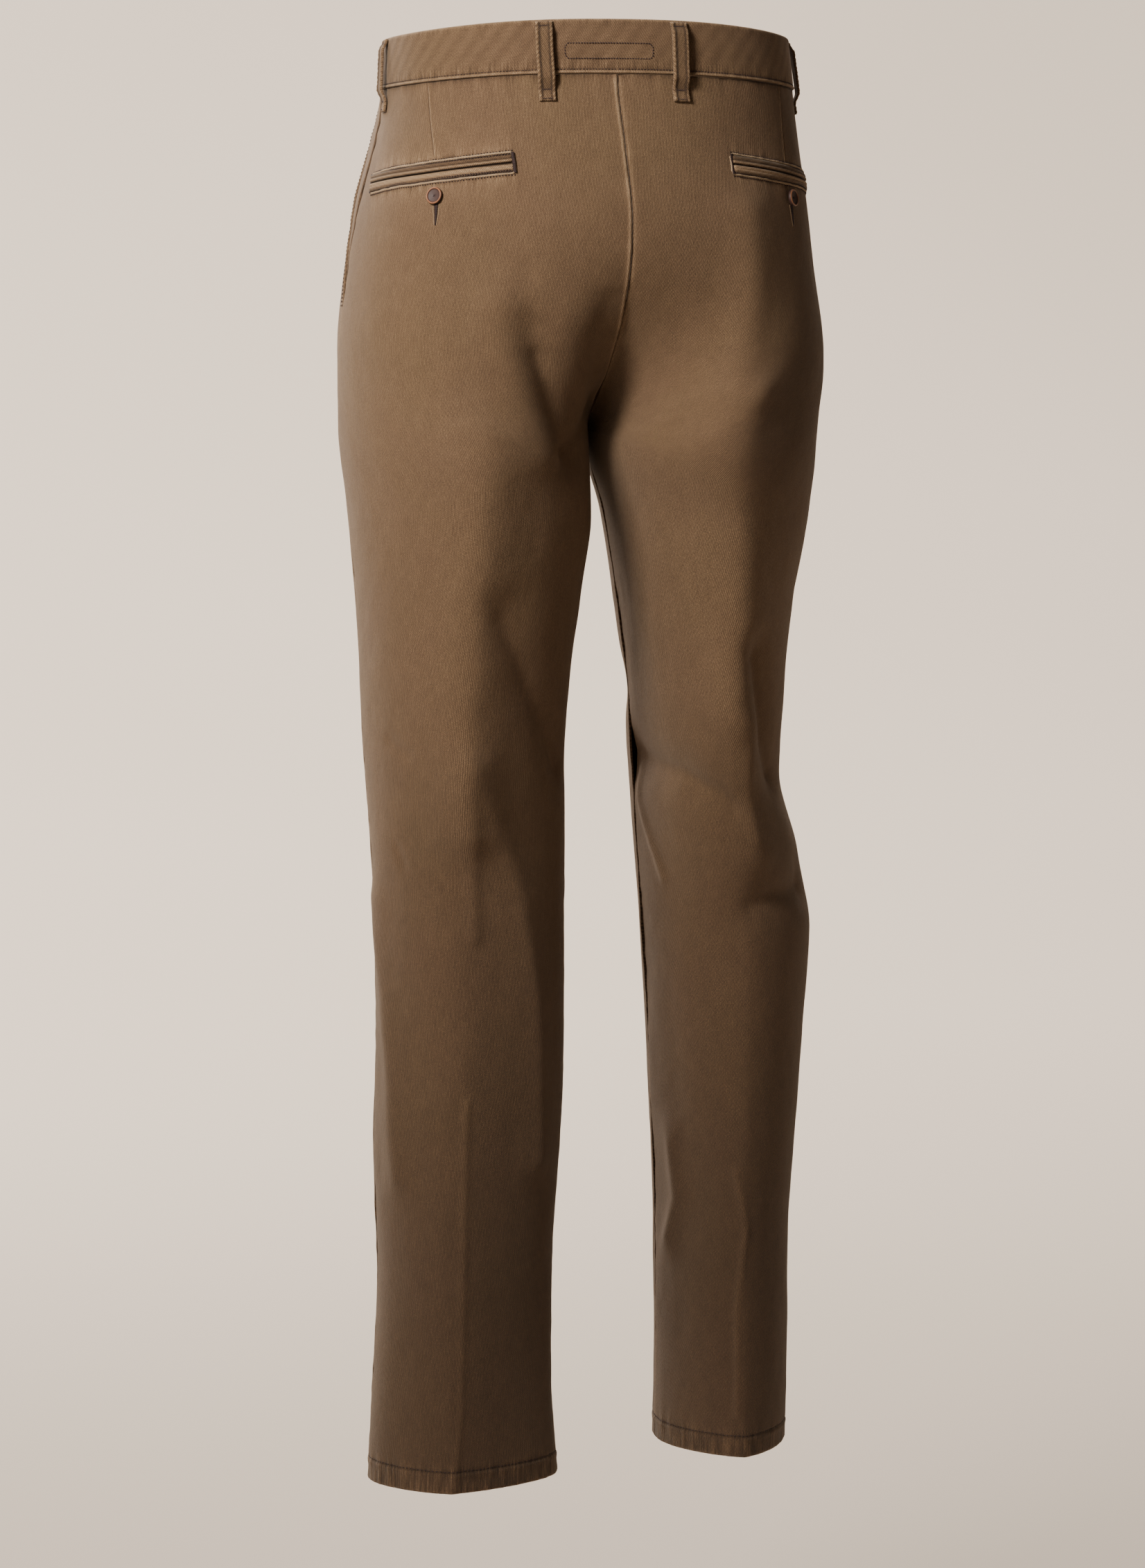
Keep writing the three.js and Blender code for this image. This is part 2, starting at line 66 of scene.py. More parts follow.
# Belt loops: which half they are on and how far from its centre seam on the left and on the right
LOOPS = {
    "back": ("back", {"left": 50, "right": 45}),
    "side": ("back", {"left": 203, "right": 203}),
    "front": ("front", {"left": 78, "right": 78}),
}
LOOP_WIDTH = 12
LOOP_THICKNESS = 2
LOOP_GAP = 3.4
LOOP_TOP = -1.5
LOOP_BOTTOM = -53

# Back pockets, measured along the cloth from the centre back seam
POCKET_FROM = 80
POCKET_TO = 213
POCKET_INNER_HEIGHT = -92
POCKET_OUTER_HEIGHT = -104
SLIT = 0.8
WELT = 5.6
WELT_THICKNESS = 1.5
DART_FROM_CENTRE = 140
DART_END = -91

POCKET_BUTTON = {"from_centre": 140, "height": -114, "radius": 6.2, "thickness": 2.8}
WAIST_BUTTON = {"from_centre": 12, "height": -18, "radius": 8, "thickness": 3.2}

# Slanted front pockets and the fly, measured along the cloth
SLANT_WIDTH = 40
SLANT_BOTTOM = -192
SLANT_TUCK = 7
SLANT_LEVEL_WITHIN = 8
FLY_WIDTH = 36
FLY_OVERLAP = 5
FLY_BOTTOM = -188
FLY_CORNER = 34
FLY_TIP = 3
FLY_THICKNESS = 1.2

# Sewing
STITCH_PITCH = 2.2
THREAD_WIDTH = 0.75

SIGN = {"left": 1, "right": -1}
SIDES = ("left", "right")


def table(names, rows):
    """Columns by name, from rows that run from the waist down."""
    data = np.array(rows, float)[::-1]
    return {name: data[:, i] for i, name in enumerate(names.split())}


# Half depth of the trunk at the centre seams, and how many degrees the hips turn as the right leg leads.
TRUNK = table("height back front turn", [
    (12, 117, 112, 0),
    (-38, 119, 114, 1),
    (-80, 124, 115, 3),
    (-130, 132, 115, 4.5),
    (-180, 137, 114, 4.5),
    (-230, 137, 112, 4),
    (-290, 130, 108, 3),
    (-350, 122, 104, 3),
])

# Side seam and inseam outward from the middle plane, middle of the leg from front to back, half depth
# behind and before it, how far the crease turns outward, and the section's roundness.
LEG_COLUMNS = "height outer inner middle back front turn round"
LEG = {
    "left": table(LEG_COLUMNS, [
        (12, 143, 0.2, -4, 112, 108, 0, 2),
        (-38, 147, 0.2, -4, 114, 110, 0, 2),
        (-80, 156.5, 0.2, -4, 116, 110, 0, 2),
        (-120, 168, 0.2, -4, 120, 110, 0, 2),
        (-160, 175, 0.2, -4, 126, 110, 0, 2),
        (-220, 181, 0.2, -4, 132, 108, 2, 2),
        (-280, 180, 0.2, -4, 128, 104, 5, 2),
        (-340, 174, -2.2, -1, 117, 101, 8, 1.95),
        (-400, 169, 6, 0, 108, 100, 10, 1.9),
        (-460, 165.5, 13, -1, 101, 97, 12, 1.85),
        (-522, 162, 16, -3, 94, 92, 14, 1.8),
        (-583, 157, 15, -4, 84, 84, 15, 1.75),
        (-644, 154, 16, -3, 80, 79, 15, 1.7),
        (-737, 155, 17, -1, 77, 75, 15, 1.6),
        (-798, 157, 19, 0, 74, 72, 15, 1.55),
        (-891, 155, 25, 2, 70, 67, 15, 1.5),
        (-984, 159.6, 26.4, 4, 64, 62, 16, 1.4),
        (-1049, 163.5, 22.5, 5, 61, 60, 17, 1.25),
    ]),
    "right": table(LEG_COLUMNS, [
        (12, 143, 0.2, -4, 112, 108, 0, 2),
        (-38, 149, 0.2, -4, 114, 110, 0, 2),
        (-80, 154, 0.2, -4, 116, 110, 0, 2),
        (-120, 160, 0.2, -4, 120, 110, 0, 2),
        (-160, 165, 0.2, -4, 126, 110, 0, 2),
        (-220, 173, 0.2, -4, 130, 108, 0, 2),
        (-280, 169, 0.2, -4, 125, 106, 0, 2),
        (-342, 165.5, 16.5, -17, 117, 106, 0, 1.95),
        (-404, 158, 29, -32, 115, 108, 0, 1.9),
        (-467, 154.8, 39.2, -46, 114, 108, 0, 1.85),
        (-531, 154.6, 45.4, -58, 108, 104, 0, 1.8),
        (-595, 172, 52, -70, 97, 94, 0, 1.75),
        (-659, 184, 58, -78, 88, 86, 0, 1.7),
        (-723, 181, 63, -83, 86, 84, 0, 1.6),
        (-788, 177.4, 66.6, -88, 84, 82, 1, 1.55),
        (-886, 172.5, 71.5, -96, 81, 79, 2, 1.5),
        (-985, 174, 74, -104, 79, 77, 3, 1.4),
        (-1055, 173, 73.5, -108, 79, 77, 4, 1.3),
    ]),
}

# Folds of the solids: points as the share of the way across the panel from its inner seam and the
# height, then width and rise. A negative rise is a trough.
FOLD_SPAN = 220
FOLDS = {
    "left_back": [
        ([(0.25, -205), (0.27, -267), (0.25, -297)], 14, -4),
        ([(0.24, -297), (0.13, -272), (0.05, -258)], 13, -3),
        ([(0.35, -190), (0.36, -245), (0.35, -292)], 17, 4),
        ([(0.12, -205), (0.14, -238)], 24, 4),
        ([(0.5, -285), (0.53, -332), (0.54, -412), (0.55, -507), (0.56, -563)], 22, 8),
        ([(0.47, -405), (0.34, -464), (0.17, -520)], 16, -4),
        ([(0.54, -520), (0.38, -615), (0.31, -700), (0.28, -807)], 18, 4),
        ([(0.95, -622), (0.89, -691), (0.81, -819)], 16, 3),
    ],
    "right_back": [
        ([(0.34, -125), (0.38, -185), (0.43, -240)], 24, 4),
        ([(0.48, -262), (0.51, -316), (0.53, -417), (0.51, -480)], 22, 8),
        ([(0.06, -523), (0.28, -532), (0.5, -554)], 20, -6),
        ([(0.58, -440), (0.68, -505), (0.75, -533)], 16, -6),
        ([(0.56, -500), (0.57, -590)], 16, 4),
        ([(0.52, -632), (0.64, -625), (0.81, -620)], 18, -4),
        ([(0.17, -810), (0.2, -859), (0.14, -895)], 14, 3),
    ],
    "left_front": [
        ([(0.08, -285), (0.3, -262), (0.5, -250)], 15, -4),
        ([(0.15, -560), (0.45, -590), (0.8, -575)], 18, -4),
        ([(0.2, -640), (0.5, -655), (0.75, -640)], 18, -3),
    ],
    "right_front": [
        ([(0.08, -288), (0.32, -270), (0.55, -262)], 15, -5),
        ([(0.1, -470), (0.45, -500), (0.85, -480)], 20, -4),
        ([(0.2, -660), (0.5, -690), (0.85, -670)], 18, -4),
    ],
}

# Smaller creases that only the cloth here has, in the same form.
CREASES = {
    "left_back": [
        ([(0.17, -205), (0.18, -262)], 32, 3.5),
        ([(0.26, -225), (0.27, -267), (0.26, -292)], 6, -1.8),
        ([(0.26, -292), (0.13, -271), (0.03, -254)], 5, -1.8),
        ([(0.04, -185), (0.06, -219), (0.09, -248)], 7, -1.4),
        ([(0.25, -165), (0.27, -228)], 11, -1.0),
        ([(0.53, -332), (0.54, -412), (0.55, -507), (0.56, -563)], 9, 1.2),
        ([(0.47, -411), (0.34, -464), (0.16, -524)], 6, -1.4),
        ([(0.56, -508), (0.54, -640)], 6, 2.0),
        ([(0.54, -514), (0.38, -615), (0.31, -700), (0.28, -807)], 7, 1.3),
        ([(0.99, -622), (0.89, -691), (0.81, -819)], 7, 1.0),
        ([(0.82, -500), (0.75, -509)], 5, -1.4),
        ([(0.81, -578), (0.79, -590)], 4, -1.2),
        ([(0.56, -760), (0.56, -899), (0.55, -989), (0.57, -1045)], 3.4, 1.3),
    ],
    "right_back": [
        ([(0.32, -125), (0.36, -185), (0.42, -245)], 13, 1.6),
        ([(0.5, -250), (0.51, -316), (0.53, -417), (0.51, -468)], 9, 1.3),
        ([(0.05, -523), (0.28, -532), (0.5, -554)], 7, -2.2),
        ([(0.04, -523), (0.05, -556), (0.18, -612)], 4, 1.4),
        ([(0.58, -443), (0.68, -513), (0.75, -533)], 6, -2.0),
        ([(0.56, -511), (0.57, -578)], 6, 1.5),
        ([(0.52, -632), (0.64, -623), (0.81, -620)], 7, -1.4),
        ([(0.17, -818), (0.2, -859), (0.14, -889)], 6, 1.2),
        ([(0.47, -834), (0.52, -876), (0.48, -941), (0.49, -1021)], 4, 1.5),
    ],
    "left_front": [
        ([(0.05, -262), (0.22, -244), (0.36, -238)], 6, -1.8),
        ([(0.06, -292), (0.25, -284), (0.42, -262)], 5, 1.6),
        ([(0.5, -330), (0.52, -470), (0.5, -560)], 8, 1.4),
        ([(0.2, -548), (0.42, -572), (0.6, -566)], 6, -1.8),
        ([(0.4, -606), (0.62, -622), (0.84, -612)], 6, 1.5),
        ([(0.5, -700), (0.5, -860), (0.5, -1040)], 3.4, 1.2),
    ],
    "right_front": [
        ([(0.05, -266), (0.24, -250), (0.42, -246)], 6, -2.0),
        ([(0.06, -296), (0.26, -286), (0.44, -274)], 5, 1.6),
        ([(0.5, -330), (0.5, -440)], 8, 1.3),
        ([(0.16, -462), (0.4, -488), (0.62, -486)], 6, -1.8),
        ([(0.3, -640), (0.55, -664), (0.8, -652)], 6, -1.6),
        ([(0.5, -730), (0.5, -880), (0.5, -1046)], 3.4, 1.3),
    ],
}


def clamp(value, low, high):
    return np.minimum(np.maximum(value, low), high)


def ease(low, high, value):
    """Runs from 0 at low to 1 at high with soft ends."""
    share = clamp((value - low) / (high - low), 0, 1)
    return share * share * (3 - 2 * share)


def bell(distance, width):
    return np.exp(-((distance / width) ** 2))


def unit(vectors):
    return vectors / np.linalg.norm(vectors, axis=-1, keepdims=True)


def noise(a, b, seed):
    """Smooth uneven heights from -1 to 1 over a plane with one knot per unit."""
    lattice = np.random.default_rng(seed).uniform(-1, 1, (251, 251))
    a, b = np.broadcast_arrays(a, b)
    row, column = np.floor(a).astype(int), np.floor(b).astype(int)
    along, across = a - row, b - column
    along = along * along * (3 - 2 * along)
    across = across * across * (3 - 2 * across)

    def knot(i, j):
        return lattice[(row + i) % 251, (column + j) % 251]

    low = knot(0, 0) * (1 - along) + knot(1, 0) * along
    high = knot(0, 1) * (1 - along) + knot(1, 1) * along
    return low * (1 - across) + high * across


def read(columns, name, height):
    """Value of one column at a height, along a smooth curve through its rows."""
    heights, values = columns["height"], columns[name]
    spans = np.diff(heights)
    steps = np.diff(values) / spans
    below, above = steps[:-1], steps[1:]
    turns_back = below * above <= 0
    middle = np.where(turns_back, 0, 2 * below * above / np.where(turns_back, 1, below + above))
    slopes = np.concatenate([steps[:1], middle, steps[-1:]])
    place_in = clamp(height, heights[0], heights[-1])
    i = clamp(np.searchsorted(heights, place_in, side="right") - 1, 0, len(spans) - 1)
    u = (place_in - heights[i]) / spans[i]
    return ((2 * u**3 - 3 * u**2 + 1) * values[i] + (u**3 - 2 * u**2 + u) * slopes[i] * spans[i]
            + (3 * u**2 - 2 * u**3) * values[i + 1] + (u**3 - u**2) * slopes[i + 1] * spans[i])


def fold_rise(folds, across, height):
    """How far a list of folds lifts the surface at points."""
    rise = np.zeros(np.broadcast(across, height).shape)
    for through, width, lift in folds:
        nearest = np.full(rise.shape, np.inf)
        for (start_across, start_height), (end_across, end_height) in zip(through, through[1:]):
            run_across = (end_across - start_across) * FOLD_SPAN
            run_height = end_height - start_height
            to_across = (across - start_across) * FOLD_SPAN
            to_height = height - start_height
            run = run_across**2 + run_height**2
            share = clamp((to_across * run_across + to_height * run_height) / run, 0, 1)
            gap = np.hypot(to_across - share * run_across, to_height - share * run_height)
            nearest = np.minimum(nearest, gap)
        rise += lift * bell(nearest, width)
    return rise


def smooth_point(side, half, across, row):
    """Smooth outside of the cloth. Across runs from the inner seam (0) to the side seam (1); row is the
    height at the side seam of the row that the point lies on."""
    facing = 1 if half == "back" else -1
    sign, leg = SIGN[side], LEG[side]
    across, row = np.broadcast_arrays(np.asarray(across, float), np.asarray(row, float))
    turning = clamp((SEAT_CURVE_TOP - row) / (SEAT_CURVE_TOP - FORK_ROW_AT_SIDE), 0, 1) * math.pi / 2
    leg_share = np.sin(turning) ** 2
    curve = SEAT_CURVE_TOP + (FORK - SEAT_CURVE_TOP) * np.sin(turning)
    below = row + (FORK - FORK_ROW_AT_SIDE) * (1 - ease(FORK_ROW_AT_SIDE, ROWS_LEVEL_BELOW, row))
    seam_height = np.where(row >= SEAT_CURVE_TOP, row, np.where(row > FORK_ROW_AT_SIDE, curve, below))
    quarter = across * math.pi / 2
    centre_rise = (WAIST_BACK_RISE if half == "back" else -WAIST_FRONT_DROP) * np.cos(quarter) ** 2
    z = seam_height + (row - seam_height) * ease(0, 1, across) + centre_rise * ease(-WAIST_RISE_FADE, 0, row)

    outer, inner = read(leg, "outer", z), read(leg, "inner", z)
    power = 2 / TRUNK_ROUNDNESS
    trunk_x = outer * np.sin(quarter) ** power
    trunk_y = facing * read(TRUNK, half, z) * clamp(np.cos(quarter), 0, 1) ** power
    spin = np.radians(read(TRUNK, "turn", z)) * sign
    turned_x = trunk_x * np.cos(spin) - trunk_y * np.sin(spin)
    turned_y = trunk_x * np.sin(spin) + trunk_y * np.cos(spin)

    middle_x = (outer + inner) / 2
    crease = middle_x + facing * read(leg, "turn", z)
    leg_x = middle_x - (outer - inner) / 2 * np.cos(math.pi * across)
    away = np.where(leg_x < crease, (crease - leg_x) / (crease - inner), (leg_x - crease) / (outer - crease))
    bulge = np.sqrt(clamp(1 - clamp(away, 0, 1) ** read(leg, "round", z), 0, 1))
    leg_y = read(leg, "middle", z) + facing * read(leg, half, z) * bulge

    x = sign * ((1 - leg_share) * turned_x + leg_share * leg_x)
    y = (1 - leg_share) * turned_y + leg_share * leg_y
    return np.stack([x, y, z], -1)


def outward(side, half, across, row):
    """Unit vectors out of the smooth cloth."""
    step = 1e-3
    along = (smooth_point(side, half, clamp(across + step, 0, 1), row)
             - smooth_point(side, half, clamp(across - step, 0, 1), row))
    down = smooth_point(side, half, across, row - 1) - smooth_point(side, half, across, row + 1)
    out = unit(np.cross(along, down))
    if (half == "back") != (side == "left"):
        out = -out
    # At the centre seams the wall goes straight in, so that the two sides stay apart.
    within = 0.05
    spin = np.radians(read(TRUNK, "turn", row))
    facing = 1 if half == "back" else -1
    straight = np.stack([-facing * np.sin(spin), facing * np.cos(spin), out[..., 2]], -1)
    share = np.where((row > SEAT_CURVE_TOP) & (across < within), 1 - across / within, 0)[..., None]
    return unit(out * (1 - share) + straight * share)


SAMPLES = 96


def row_lengths(side, half, rows):
    """Length along each row's cloth from the inner seam, at even steps across."""
    shares = np.linspace(0, 1, SAMPLES + 1)
    points = smooth_point(side, half, shares, rows[:, None])
    steps = np.linalg.norm(np.diff(points, axis=1), axis=-1)
    return np.concatenate([np.zeros((len(rows), 1)), np.cumsum(steps, axis=1)], axis=1)


def row_length(side, half, row):
    rows, which = np.unique(np.asarray(row, float), return_inverse=True)
    return row_lengths(side, half, rows)[:, -1][which].reshape(np.shape(row))


def across_at(side, half, distance, row):
    """Share of the way across at distances along the cloth from the inner seam."""
    rows, which = np.unique(row, return_inverse=True)
    which = which.reshape(row.shape)
    lengths = row_lengths(side, half, rows)
    apart = 10 * lengths.max()
    shift = np.arange(len(rows)) * apart
    goal = clamp(distance, 0, lengths[which, -1])
    shares = np.tile(np.linspace(0, 1, SAMPLES + 1), len(rows))
    return np.interp(goal + shift[which], (lengths + shift[:, None]).ravel(), shares)


def pocket_slit_row(distance):
    along = (distance - POCKET_FROM) / (POCKET_TO - POCKET_FROM)
    return POCKET_INNER_HEIGHT + (POCKET_OUTER_HEIGHT - POCKET_INNER_HEIGHT) * along


def dart_distance(row):
    """How far from the centre back seam the dart lies, from the band down to the pocket."""
    return DART_FROM_CENTRE - 2 * clamp((PANEL_TOP - row) / (PANEL_TOP - DART_END), 0, 1)


def slant_width(row):
    """Width at a row of the corner that the slanted front pocket takes out of the front panel."""
    return SLANT_WIDTH * clamp((row - SLANT_BOTTOM) / (PANEL_TOP - SLANT_BOTTOM), 0, 1)


def seam_puckers(along, away, pitch, reach, seed):
    """Small ribs square to a seam, strongest at it."""
    ribs = noise(along / pitch, away / (4 * reach), seed)
    return ribs * np.exp(-np.abs(away) / reach)


# A darker tone towards the hem of each leg, and painted shade on the outer side of the right seat, at fitted
# strengths. A darker tone low on the legs and on the outer side of the right seat, fitted to the photograph,
# where it may be shade and not the cloth's own colour
LOWER_LEG_TONE = 0.6
RIGHT_SEAT_PAINTED_SHADE = 0.34


def relief(side, half, distance, row, height, across):
    """Fine height of the cloth over the folds, how worn and pale it is, and how dark it is with painted shade
    in grooves and seams and a darker tone towards the hem.
    """
    seed = {"left_back": 10, "right_back": 20, "left_front": 30, "right_front": 40}[f"{side}_{half}"]
    length = row_length(side, half, row)
    to_side = length - distance - (slant_width(row) if half == "front" else 0)
    hem = HEM[side]
    over_hem = height - hem
    rise = 0.9 * noise(distance / 55, height / 85, seed)
    rise = rise + 0.35 * noise(distance / 22, height / 34, seed + 1)
    rise = rise + 0.12 * noise(distance / 9, height / 13, seed + 2)
    rise = rise * ease(PANEL_TOP, PANEL_TOP - 30, row)

    # Seams: the edges turn in, and the sewing draws small ribs.
    edge = clamp(1 - distance / 1.4, 0, 1) ** 2 + clamp(1 - to_side / 1.4, 0, 1) ** 2
    inner_ribs = seam_puckers(height, distance, 6.5, 7, seed + 3)
    side_ribs = seam_puckers(height, to_side, 7.5, 8, seed + 4)
    top_ribs = seam_puckers(distance, PANEL_TOP - row, 5, 9, seed + 5)
    rise = rise - 0.45 * edge + 0.3 * inner_ribs + 0.35 * side_ribs + 0.35 * top_ribs
    wear = 0.35 * bell(distance - 1.5, 1.6) + 0.1 * bell(to_side - 1.5, 1.6)
    wear = wear + 0.35 * clamp(inner_ribs + side_ribs + top_ribs, 0, 1)
    # Painted shade in the seams' crevices and just below the waistband.
    painted_shade_and_tone = 0.5 * clamp(1 - distance / 0.9, 0, 1) + 0.4 * clamp(1 - to_side / 0.9, 0, 1)
    painted_shade_and_tone = painted_shade_and_tone + 0.6 * np.exp(-clamp(PANEL_TOP - row, 0, 99) / 1.6)

    # Hem: doubled cloth below a stitched line, drawn into ribs.
    stitch_line = over_hem - HEM_DEPTH
    below = clamp(-stitch_line / HEM_DEPTH, 0, 1)
    ribs = noise(distance / 3.4, over_hem / 26, seed + 6)
    reach = np.where(stitch_line < 0, 1 - 0.45 * below, np.exp(-clamp(stitch_line, 0, 99) / 5))
    rise = rise + 0.55 * ribs * reach * (over_hem < HEM_DEPTH + 30) - 0.5 * bell(stitch_line, 1.1)
    rise = rise + 0.5 * (stitch_line < 0) * bell(stitch_line + 2.4, 2)
    rise = rise - 0.7 * clamp(1 - over_hem / 1.2, 0, 1) ** 2
    wear = wear + 0.5 * bell(over_hem, 1.6) + 0.35 * clamp(ribs, 0, 1) * reach * (over_hem < HEM_DEPTH + 8)
    # Painted shade along the hem's stitched line and in the troughs of its ribs.
    painted_shade_and_tone = painted_shade_and_tone + 0.5 * bell(stitch_line, 0.9) + 0.2 * clamp(-ribs, 0, 1) * (stitch_line < 0)

    if half == "back":
        rise, wear, painted_shade_and_tone = back_relief(side, distance, row, seed, rise, wear, painted_shade_and_tone)
    else:
        edge_of_slant = to_side + 0 * row
        on_slant = (row > SLANT_BOTTOM) * ease(SLANT_BOTTOM, SLANT_BOTTOM + 12, row)
        rise = rise + on_slant * (0.6 * bell(edge_of_slant - 3, 3) - 0.35 * bell(edge_of_slant - 6.5, 0.8))
        wear = wear + on_slant * 0.1 * bell(edge_of_slant, 2)
    wear = wear + 0.16 * crease_wear(f"{side}_{half}", across, height)
    # A darker tone towards the hem of each leg.
    painted_shade_and_tone = painted_shade_and_tone + LOWER_LEG_TONE * ease(-320, -960, height)
    return rise, clamp(wear, 0, 1), clamp(painted_shade_and_tone, 0, 1)


def crease_wear(panel, across, height):
    """Pale rub along the sharp creases of the lower leg."""
    sharp = [(through, width, 1) for through, width, lift in CREASES[panel] if width < 5 and lift > 0]
    return fold_rise(sharp, across, height)


def back_relief(side, distance, row, seed, rise, wear, painted_shade_and_tone):
    """The centre back seam, dart and pocket on a back panel."""
    seat = ease(FORK_ROW_AT_SIDE, SEAT_CURVE_TOP, row)
    if side == "left":
        rise = rise + seat * 0.5 * bell(distance - 1.6, 1.1)
        wear = wear + seat * 0.5 * bell(distance - 1.5, 1)
    else:
        rise = rise - seat * 0.25 * bell(distance, 1.2)
        # Painted shade in the centre back seam.
        painted_shade_and_tone = painted_shade_and_tone + seat * 0.4 * bell(distance, 0.6)
    # Painted shade on the outer side of the right seat.
    if side == "right":
        painted_shade_and_tone = painted_shade_and_tone + RIGHT_SEAT_PAINTED_SHADE * ease(120, 160, distance) * ease(-420, -250, row)
    dart = distance - dart_distance(row)
    on_dart = ease(DART_END, DART_END + 4, row) * (row > DART_END)
    rise = rise + on_dart * (0.55 * bell(dart + 1.0, 0.9) - 0.4 * bell(dart, 0.6))
    wear = wear + on_dart * 0.75 * bell(dart + 0.9, 0.6)
    # Painted shade along the dart.
    painted_shade_and_tone = painted_shade_and_tone + on_dart * 0.8 * bell(dart, 0.45)

    from_slit = row - pocket_slit_row(distance)
    window = SLIT / 2 + WELT
    along = clamp((distance - POCKET_FROM) * (POCKET_TO - distance) / 200, 0, 1)
    past_frame = np.abs(from_slit) - window
    ribs = seam_puckers(distance, past_frame, 4.2, 6, seed + 7) * (past_frame > 0) * along
    rise = rise + 0.4 * ribs - 1.1 * along * bell(from_slit, 3.4)
    halo = along * np.exp(-clamp(past_frame, 0, 99) / 9) * (past_frame > 0)
    wear = wear + 0.4 * clamp(ribs, 0, 1) + 0.42 * halo
    edge_shadow = along * bell(past_frame - 2.4, 0.9)
    # Painted shade in the pocket's slit, in the troughs of its ribs and beside the frame.
    painted_shade_and_tone = painted_shade_and_tone + along * bell(from_slit, 2.2) + 0.35 * clamp(-ribs, 0, 1) + 0.3 * edge_shadow
    return rise, wear, painted_shade_and_tone


def pucker_strength(side, half, distance, row, height):
    """How strongly the sewing draws the cloth into fine ribs that run down from or up to a seam."""
    over_hem = height - HEM[side]
    strength = 0.55 * np.exp(-clamp(PANEL_TOP - row, 0, 200) / 4.5)
    strength = strength + 0.7 * ease(HEM_DEPTH + 9, HEM_DEPTH - 2, over_hem)
    if half == "back":
        past_frame = np.abs(row - pocket_slit_row(distance)) - SLIT / 2 - WELT
        along = clamp((distance - POCKET_FROM + 3) * (POCKET_TO + 3 - distance) / 200, 0, 1)
        strength = strength + along * np.exp(-clamp(past_frame, 0, 200) / 4.5) * (past_frame > 0)
    return clamp(strength, 0, 1)


def place(side, half, distance, row, lift=0.0, fine=True):
    """Points on a row at distances from the centre seam, the way out, and the cloth's wear and grooves.
    A distance below 0 lies past the seam, on the other side."""
    distance, row, lift = np.broadcast_arrays(*[np.asarray(v, float) for v in (distance, row, lift)])
    past = distance < 0
    if past.any():
        other = "right" if side == "left" else "left"
        parts = [place(side, half, np.abs(distance), row, lift, fine),
                 place(other, half, np.abs(distance), row, lift, fine)]
        return tuple(np.where(past[..., None] if a.ndim > past.ndim else past, b, a) for a, b in zip(*parts))
    across = across_at(side, half, distance, row)
    point = smooth_point(side, half, across, row)
    out = outward(side, half, across, row)
    panel = f"{side}_{half}"
    rise = fold_rise(FOLDS[panel], across, point[..., 2]) + lift
    wear = painted_shade_and_tone = np.zeros(distance.shape)
    if fine:
        small, wear, painted_shade_and_tone = relief(side, half, distance, row, point[..., 2], across)
        rise = rise + fold_rise(CREASES[panel], across, point[..., 2]) + small
    return point + out * rise[..., None], out, wear, painted_shade_and_tone


def finish_piece(piece, replaces=(), material=None):
    """Everything that each piece of the garment needs from the frame."""
    piece.data.materials.append(material)
    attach(piece, "root")
    if replaces:
        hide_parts(*replaces)
    return piece


def new_mesh(name, points, faces, uv=None, wear=None, painted_shade_and_tone=None, pucker=None):
    """An object from points in millimetres and faces. The uv is in millimetres too, one for each point."""
    mesh = bpy.data.meshes.new(name)
    mesh.from_pydata(np.asarray(points) * METRE, [], faces)
    if uv is not None:
        layer = mesh.uv_layers.new(name="cloth")
        loops = np.zeros(len(mesh.loops), dtype=np.int32)
        mesh.loops.foreach_get("vertex_index", loops)
        layer.data.foreach_set("uv", (np.asarray(uv)[loops] * METRE).ravel())
    # Attributes: wear, painted shade with a darker tone towards the hem, and how strongly the fine ribs show
    for label, values in (("wear", wear), ("painted_shade_and_tone", painted_shade_and_tone), ("pucker", pucker)):
        if values is not None:
            attribute = mesh.attributes.new(label, "FLOAT", "POINT")
            attribute.data.foreach_set("value", np.asarray(values, dtype=np.float32).ravel())
    mesh.shade_smooth()
    mesh.update()
    piece = bpy.data.objects.new(name, mesh)
    bpy.context.scene.collection.objects.link(piece)
    return piece


def shell_faces(rows, columns, coarse):
    """Faces of a closed shell: an outer grid, then an inner grid that keeps every coarse-th row and
    column. Both grids end on the last row and column."""
    kept_rows = sorted(set(range(0, rows, coarse)) | {rows - 1})
    kept_columns = sorted(set(range(0, columns, coarse)) | {columns - 1})
    first_inner = rows * columns
    faces = []
    for i in range(rows - 1):
        start = i * columns
        faces += [(start + j, start + j + 1, start + columns + j + 1, start + columns + j)
                  for j in range(columns - 1)]
    wide = len(kept_columns)
    for i in range(len(kept_rows) - 1):
        start = first_inner + i * wide
        faces += [(start + j, start + wide + j, start + wide + j + 1, start + j + 1) for j in range(wide - 1)]

    def rim(outer_line, kept, inner_line, turned):
        for k, (low, high) in enumerate(zip(kept, kept[1:])):
            run = [outer_line(n) for n in range(low, high + 1)]
            face = run + [inner_line(k + 1), inner_line(k)]
            faces.append(tuple(face[::-1] if turned else face))

    last_row, last_column = rows - 1, columns - 1
    rim(lambda n: n, kept_columns, lambda k: first_inner + k, True)
    rim(lambda n: last_row * columns + n, kept_columns,
        lambda k: first_inner + (len(kept_rows) - 1) * wide + k, False)
    rim(lambda n: n * columns, kept_rows, lambda k: first_inner + k * wide, False)
    rim(lambda n: n * columns + last_column, kept_rows,
        lambda k: first_inner + k * wide + wide - 1, True)
    return faces, kept_rows, kept_columns


